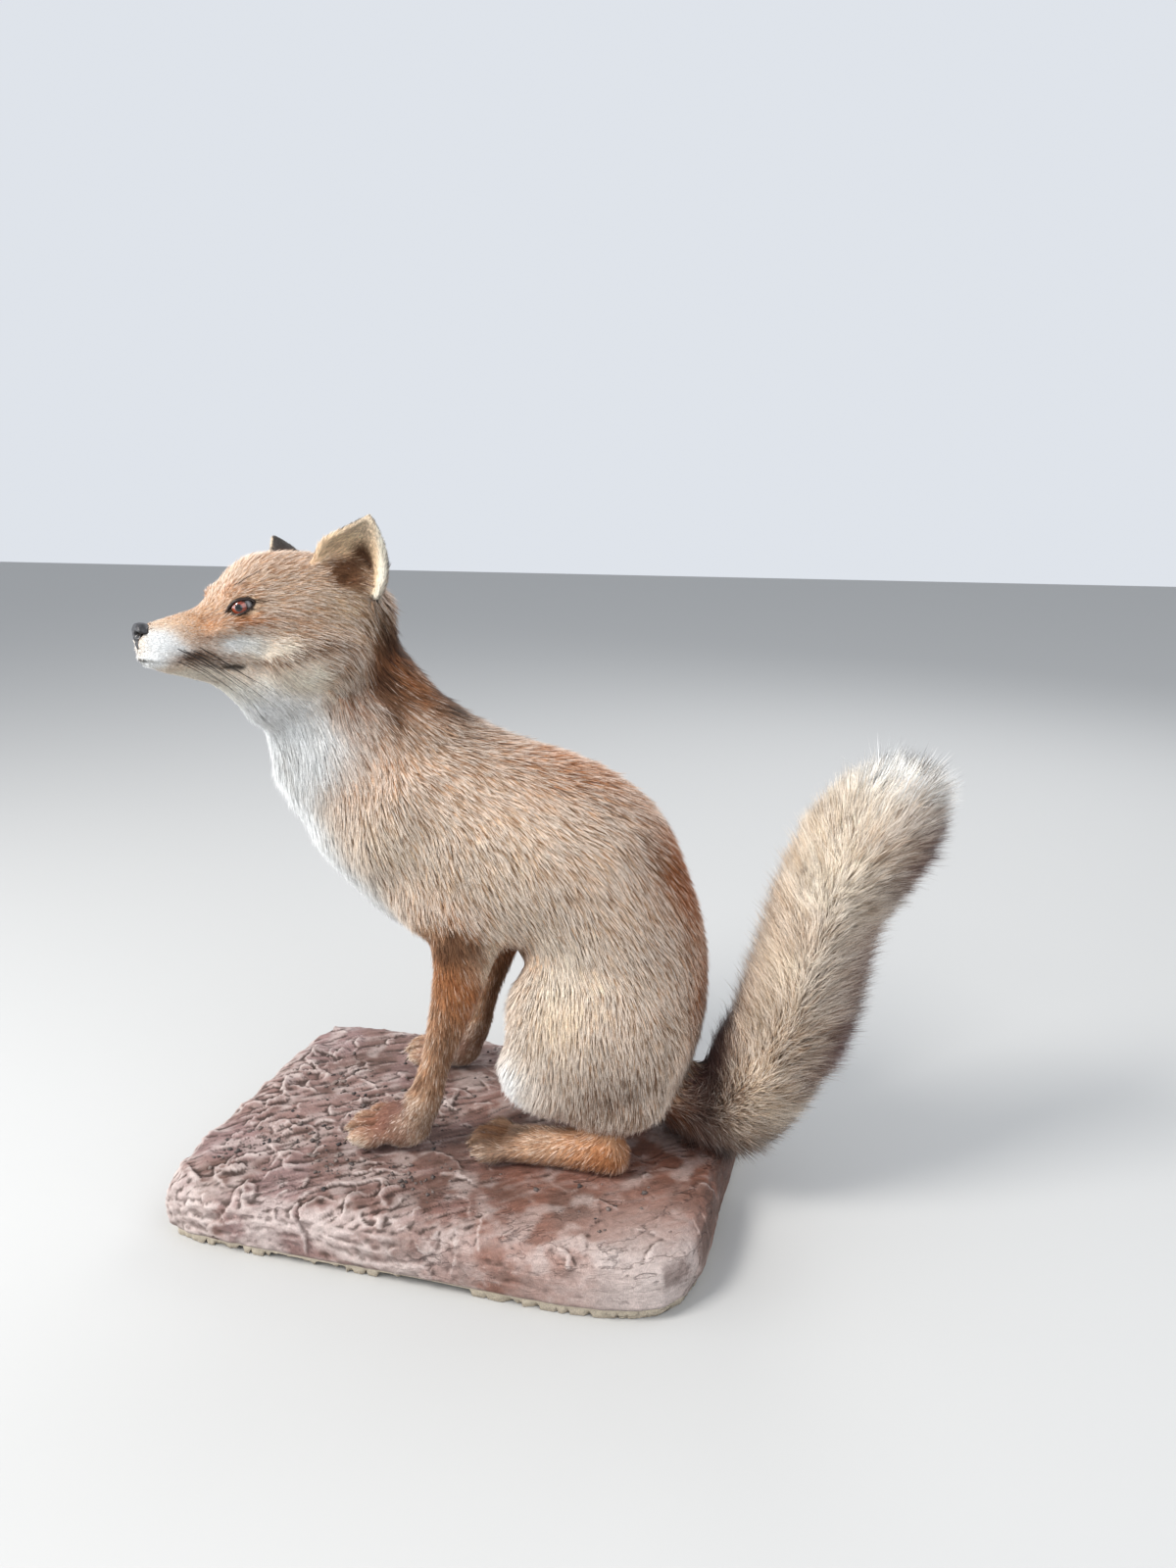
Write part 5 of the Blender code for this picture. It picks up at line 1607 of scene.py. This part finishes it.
def plaster_relief(points, normals, settings):
    """Height of the plaster over the slab at each point, and how proud each flake's edge stands, which sets
    the worn plaster and painted highlight along it.
    """
    rng = np.random.default_rng(5)
    low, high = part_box("base")
    top = ramp(normals[:, 2], 0.25, 0.75)
    leftness = 1 - 0.65 * ramp(points[:, 0], -0.02, 0.12)
    rise = (layered(points, 0.060, 1) - 0.5) * 0.0040 + (layered(points, 0.010, 4) - 0.5) * 0.0009
    rise += (trowelled(points, 35, 0.020, 0.0035, 14) - 0.5) * 0.0022 * leftness
    # Thin coats of plaster that have lifted: each sheet rises slowly to an irregular free edge
    edge = np.zeros(len(points))
    for seed, size, sheets, height in ((40, 0.075, 7.0, 0.0018), (50, 0.036, 4.5, 0.0012)):
        level = layered(points, size, seed) * sheets
        step = level - np.floor(level)
        patch = ramp(layered(points, 0.035, seed + 5), 0.50, 0.62) * leftness
        rise += height * (1 - step) ** 1.6 * ramp(step, 0.0, 0.07) * patch
        edge = np.maximum(edge, np.exp(-((step - 0.07) / 0.05) ** 2) * patch * 0.8)
    for _ in range(settings.flakes):
        left = rng.random() < 0.66
        x = rng.uniform(low.x, low.x + (high.x - low.x) * (0.50 if left else 1.0))
        y = rng.uniform(low.y, high.y)
        radius = rng.uniform(0.006, 0.030)
        heading = rng.normal(2.4, 0.8)
        sweep = rng.uniform(0.4, 1.1)
        height = settings.flake_height * rng.uniform(0.35, 1.0) * (1.0 if left else 0.5)
        span = radius + 0.012
        close = (np.abs(points[:, 0] - x) < span) & (np.abs(points[:, 1] - y) < span)
        near = np.flatnonzero(close & (top > 0.02))
        if not len(near):
            continue
        px, py = points[near, 0] - x, points[near, 1] - y
        wobble = (layered(points[near], 0.012, 9) - 0.5) * 0.012
        out = np.hypot(px, py) + wobble - radius
        turn = np.abs((np.arctan2(py, px) - heading + math.pi) % (2 * math.pi) - math.pi)
        ends = (1 - ramp(turn, sweep * 0.45, sweep)) * top[near]
        inside = np.exp(np.minimum(out, 0) / 0.0050) * (out < 0)
        drop = (1 - ramp(out, 0.0, 0.0012)) * (out >= 0)
        rise[near] += height * (inside + drop) * ends
        edge[near] = np.maximum(edge[near], np.exp(-((out + 0.0004) / 0.0009) ** 2) * ends)
    # The sides carry long uneven ledges, as of wet plaster drawn along them
    sides = 1 - top
    warp = (layered(points, 0.11, 12) - 0.5) * 0.070 + (layered(points, 0.020, 16) - 0.5) * 0.014
    ledge = (points[:, 2] + warp) / 0.0125
    step = ledge - np.floor(ledge)
    kept = ramp(layered(points, 0.05, 18), 0.48, 0.64) * leftness
    shelf = ramp(step, 0.0, 0.80) * (1 - ramp(step, 0.86, 1.0)) * kept
    rise += sides * (shelf - 0.3) * 0.0012 * ramp(points[:, 2], 0.010, 0.014)
    edge = np.maximum(edge, sides * kept * np.exp(-((step - 0.84) / 0.06) ** 2) * 0.4)
    # The board underneath is plain and stands back from the plaster
    rise *= 1 - sides * (1 - ramp(points[:, 2], 0.0050, 0.0130))
    rise -= 0.0016 * sides * (1 - ramp(points[:, 2], 0.0060, 0.0120))
    return rise, edge


def plaster_colours(points, normals, proud, edge, settings):
    """Paint that is pinkish on the left, redder and darker on the right, and worn to plaster in front;
    painted shade on the faces that turn to the right, in the pits and under the plaster's lip, and painted
    highlights on the crests and flake edges.
    """
    clay, umber, plaster = (np.array(value) for value in (settings.clay, settings.umber, settings.plaster))
    low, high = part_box("base")
    colours = np.tile(clay, (len(points), 1))
    right = ramp(points[:, 0] + (layered(points, 0.06, 20) - 0.5) * 0.14, -0.07, 0.12)
    streaks = trowelled(points, 35, 0.030, 0.0045, 24)
    front = ramp(-normals[:, 1], 0.15, 0.70) * ramp(layered(points, 0.030, 30), 0.26, 0.50)
    corner = bell(points, (high.x - 0.03, low.y + 0.02, 0.02), (0.06, 0.05, 0.05))
    # Painted shade on the faces that turn to the right
    shade = 0.75 * ramp(normals[:, 0], 0.5, 0.9) * ramp(layered(points, 0.030, 36), 0.35, 0.55)
    board = 1 - ramp(points[:, 2], 0.0085, 0.0110)
    # Painted shade in the pits of the relief
    hollow_shade = 0.90 * ramp(proud, -0.00008, -0.00040) * (1 - board)
    hollow_shade *= 0.55 + 0.45 * ramp(normals[:, 2], 0.3, 0.8)
    # Painted shade in a line under the plaster's lip, above the board
    shade_under_plaster_lip = 0.35 * np.exp(-((points[:, 2] - 0.0110) / 0.0014) ** 2) * ramp(normals[:, 2], 0.7, 0.4)
    for colour, share in (
        (np.array((0.235, 0.095, 0.055)), 0.75 * right),
        (umber, 0.70 * ramp(streaks, 0.50, 0.72) * (1 - 0.4 * right)),
        (plaster, 0.40 * ramp(streaks, 0.45, 0.28) * (1 - 0.5 * right)),
        (umber, 0.62 * ramp(layered(points, 0.040, 22), 0.50, 0.70)),
        (np.array((0.30, 0.205, 0.205)), 0.45 * ramp(layered(points, 0.050, 34), 0.48, 0.66) * (1 - right)),
        (plaster, 0.40 * ramp(layered(points, 0.016, 26), 0.52, 0.72)),
        (plaster, 0.52 * front * (1 - 0.60 * right)),
        (plaster, 0.60 * ramp(-normals[:, 0], 0.3, 0.8)),
        (plaster, 0.85 * corner),
        (umber * 0.8, shade),
        (np.array((0.72, 0.63, 0.50)), 0.92 * board),
        # The flakes' and ledges' edges pale: worn to plaster, and in part a painted highlight
        (plaster * 1.15, 0.30 * edge),
        # Painted highlight on the crests of the relief
        (plaster * 1.15, 0.34 * ramp(proud, 0.00020, 0.00060) * (1 - board)),
        (umber * 0.4, hollow_shade),
        (umber * 0.5, shade_under_plaster_lip),
    ):
        lay_on(colours, colour, share)
    return np.clip(colours, 0, 1)


# Where the gravel lies thickest (x, y)
GRAVEL_HEAPS = ((-0.092, -0.010), (-0.080, -0.082), (-0.112, -0.060), (-0.060, 0.020), (-0.130, 0.030),
                (-0.150, -0.075), (-0.020, -0.085), (-0.035, 0.000))


class FOX_OT_grit(bpy.types.Operator):
    """Scatters bits of gravel and coarse sand over the ground near the paws"""
    bl_idname = "fox.grit"
    bl_label = "Gravel"

    def execute(self, context):
        settings = context.scene.fox_ground
        ground = bpy.data.objects["groundwork"]
        tree = surface_tree(ground)
        rng = np.random.default_rng(3)
        stone = primitive(bpy.ops.mesh.primitive_ico_sphere_add, subdivisions=2, radius=1.0)
        shape, triangles = shape_of(stone)
        low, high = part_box("base")
        points, faces = [], []
        while len(points) < settings.stones:
            if rng.random() < 0.7:
                heap = GRAVEL_HEAPS[rng.integers(len(GRAVEL_HEAPS))]
                x, y = rng.normal(heap[0], 0.012), rng.normal(heap[1], 0.014)
            else:
                x, y = rng.uniform(low.x + 0.03, high.x - 0.05), rng.uniform(low.y + 0.03, high.y - 0.03)
            if not (low.x + 0.02 < x < high.x - 0.02 and low.y + 0.02 < y < high.y - 0.02):
                continue
            hit = tree.ray_cast(Vector((x, y, 0.2)), Vector((0, 0, -1)))[0]
            if hit is None:
                continue
            size = 0.0006 + 0.0014 * rng.random() ** 2.5
            rough = shape * (1 + 0.35 * rng.normal(0, 1, (len(shape), 1)).clip(-1, 1))
            turn = np.array(Matrix.Rotation(rng.uniform(0, 6.3), 3, "Z"))
            rough = rough * np.array((1.2, 0.9, 0.7)) * size @ turn.T
            faces.append(triangles + len(points) * len(shape))
            points.append(rough + np.array(hit) + np.array((0, 0, size * 0.35)))
        grit = new_object("gravel", mesh_from("gravel", np.concatenate(points), np.concatenate(faces)))
        paint = Paint("gravel", 0.7, 0.3)
        mottle = paint.fade(paint.noise(60, 2), 0.35, 0.65)
        paint.colour(paint.mix(mottle, (0.050, 0.045, 0.045), (0.24, 0.19, 0.17)))
        paint.bump(paint.noise(1800, 3), 0.0003)
        finish_piece(grit, paint.material, "groundwork")
        return {"FINISHED"}


class FOX_OT_stage(bpy.types.Operator):
    """Sets out the pale floor, the soft lights and the camera"""
    bl_idname = "fox.stage"
    bl_label = "Stage"

    def execute(self, context):
        settings = context.scene.fox_stage
        floor = primitive(bpy.ops.mesh.primitive_plane_add, size=12, location=(0, 0, -0.0005))
        floor.name = "floor"
        paint = Paint("floor", 0.9, 0.1)
        paint.set("Base Color", (*settings.floor, 1))
        floor.data.materials.append(paint.material)
        world = bpy.data.worlds.new("studio")
        context.scene.world = world
        world.use_nodes = True
        background = world.node_tree.nodes["Background"]
        background.inputs["Color"].default_value = (0.90, 0.94, 1.0, 1)
        background.inputs["Strength"].default_value = 0.70
        for name, place, aim, size, power, tone in (
            ("key", (-1.1, -1.3, 1.9), (0, 0, 0.25), 0.8, settings.key_power, (1.0, 0.97, 0.93)),
            ("fill", (1.5, -1.0, 1.1), (0, 0, 0.25), 1.6, settings.fill_power, (0.93, 0.96, 1.0)),
            ("front", (-1.7, -0.9, 0.45), (0, 0, 0.3), 1.4, settings.fill_power * 1.6, (0.95, 0.98, 1.0)),
            ("rim", (0.6, 1.6, 1.6), (0, 0, 0.3), 1.2, settings.fill_power, (1.0, 1.0, 1.0)),
        ):
            lamp = bpy.data.lights.new(name, "AREA")
            lamp.size, lamp.energy, lamp.color = size, power, tone
            light = new_object(name, lamp)
            light.location = place
            light.rotation_euler = (Vector(aim) - Vector(place)).to_track_quat("-Z", "Y").to_euler()
        lens = bpy.data.cameras.new("camera")
        lens.lens, lens.sensor_width, lens.sensor_fit = settings.lens, 36.0, "AUTO"
        camera = new_object("camera", lens)
        camera.location = (0.30, -0.76, 0.55)
        camera.rotation_euler = (math.radians(90 - 15.04), 0, math.radians(15))
        context.scene.camera = camera
        context.scene.view_settings.view_transform = "Standard"
        context.scene.view_settings.look = "Medium High Contrast"
        return {"FINISHED"}


class FOX_PT_panel(bpy.types.Panel):
    """The mounted fox's pieces, in the order in which they are made"""
    bl_idname = "FOX_PT_panel"
    bl_label = "Mounted fox"
    bl_space_type = "VIEW_3D"
    bl_region_type = "UI"
    bl_category = "Fox"

    def draw(self, context):
        for operator in OPERATORS:
            self.layout.operator(operator.bl_idname)
        for name, settings in SETTINGS.items():
            box = self.layout.box()
            for field in settings.__annotations__:
                box.prop(getattr(context.scene, name), field)


SETTINGS = {"fox_coat": FoxCoatSettings, "fox_face": FoxFaceSettings, "fox_ground": FoxGroundSettings,
            "fox_stage": FoxStageSettings}
OPERATORS = (FOX_OT_stage, FOX_OT_ground, FOX_OT_grit, FOX_OT_skin, FOX_OT_eyes, FOX_OT_lids, FOX_OT_nose,
             FOX_OT_whiskers, FOX_OT_claws, FOX_OT_coat)


def register():
    for name, group in SETTINGS.items():
        bpy.utils.register_class(group)
        setattr(bpy.types.Scene, name, PointerProperty(type=group))
    for operator in (*OPERATORS, FOX_PT_panel):
        bpy.utils.register_class(operator)


def unregister():
    for operator in (FOX_PT_panel, *reversed(OPERATORS)):
        bpy.utils.unregister_class(operator)
    for name, group in reversed(list(SETTINGS.items())):
        delattr(bpy.types.Scene, name)
        bpy.utils.unregister_class(group)


def main():
    register()
    bpy.ops.object.select_all(action="DESELECT")
    for operator in OPERATORS:
        group, name = operator.bl_idname.split(".")
        getattr(getattr(bpy.ops, group), name)()


if __name__ == "__main__":
    main()
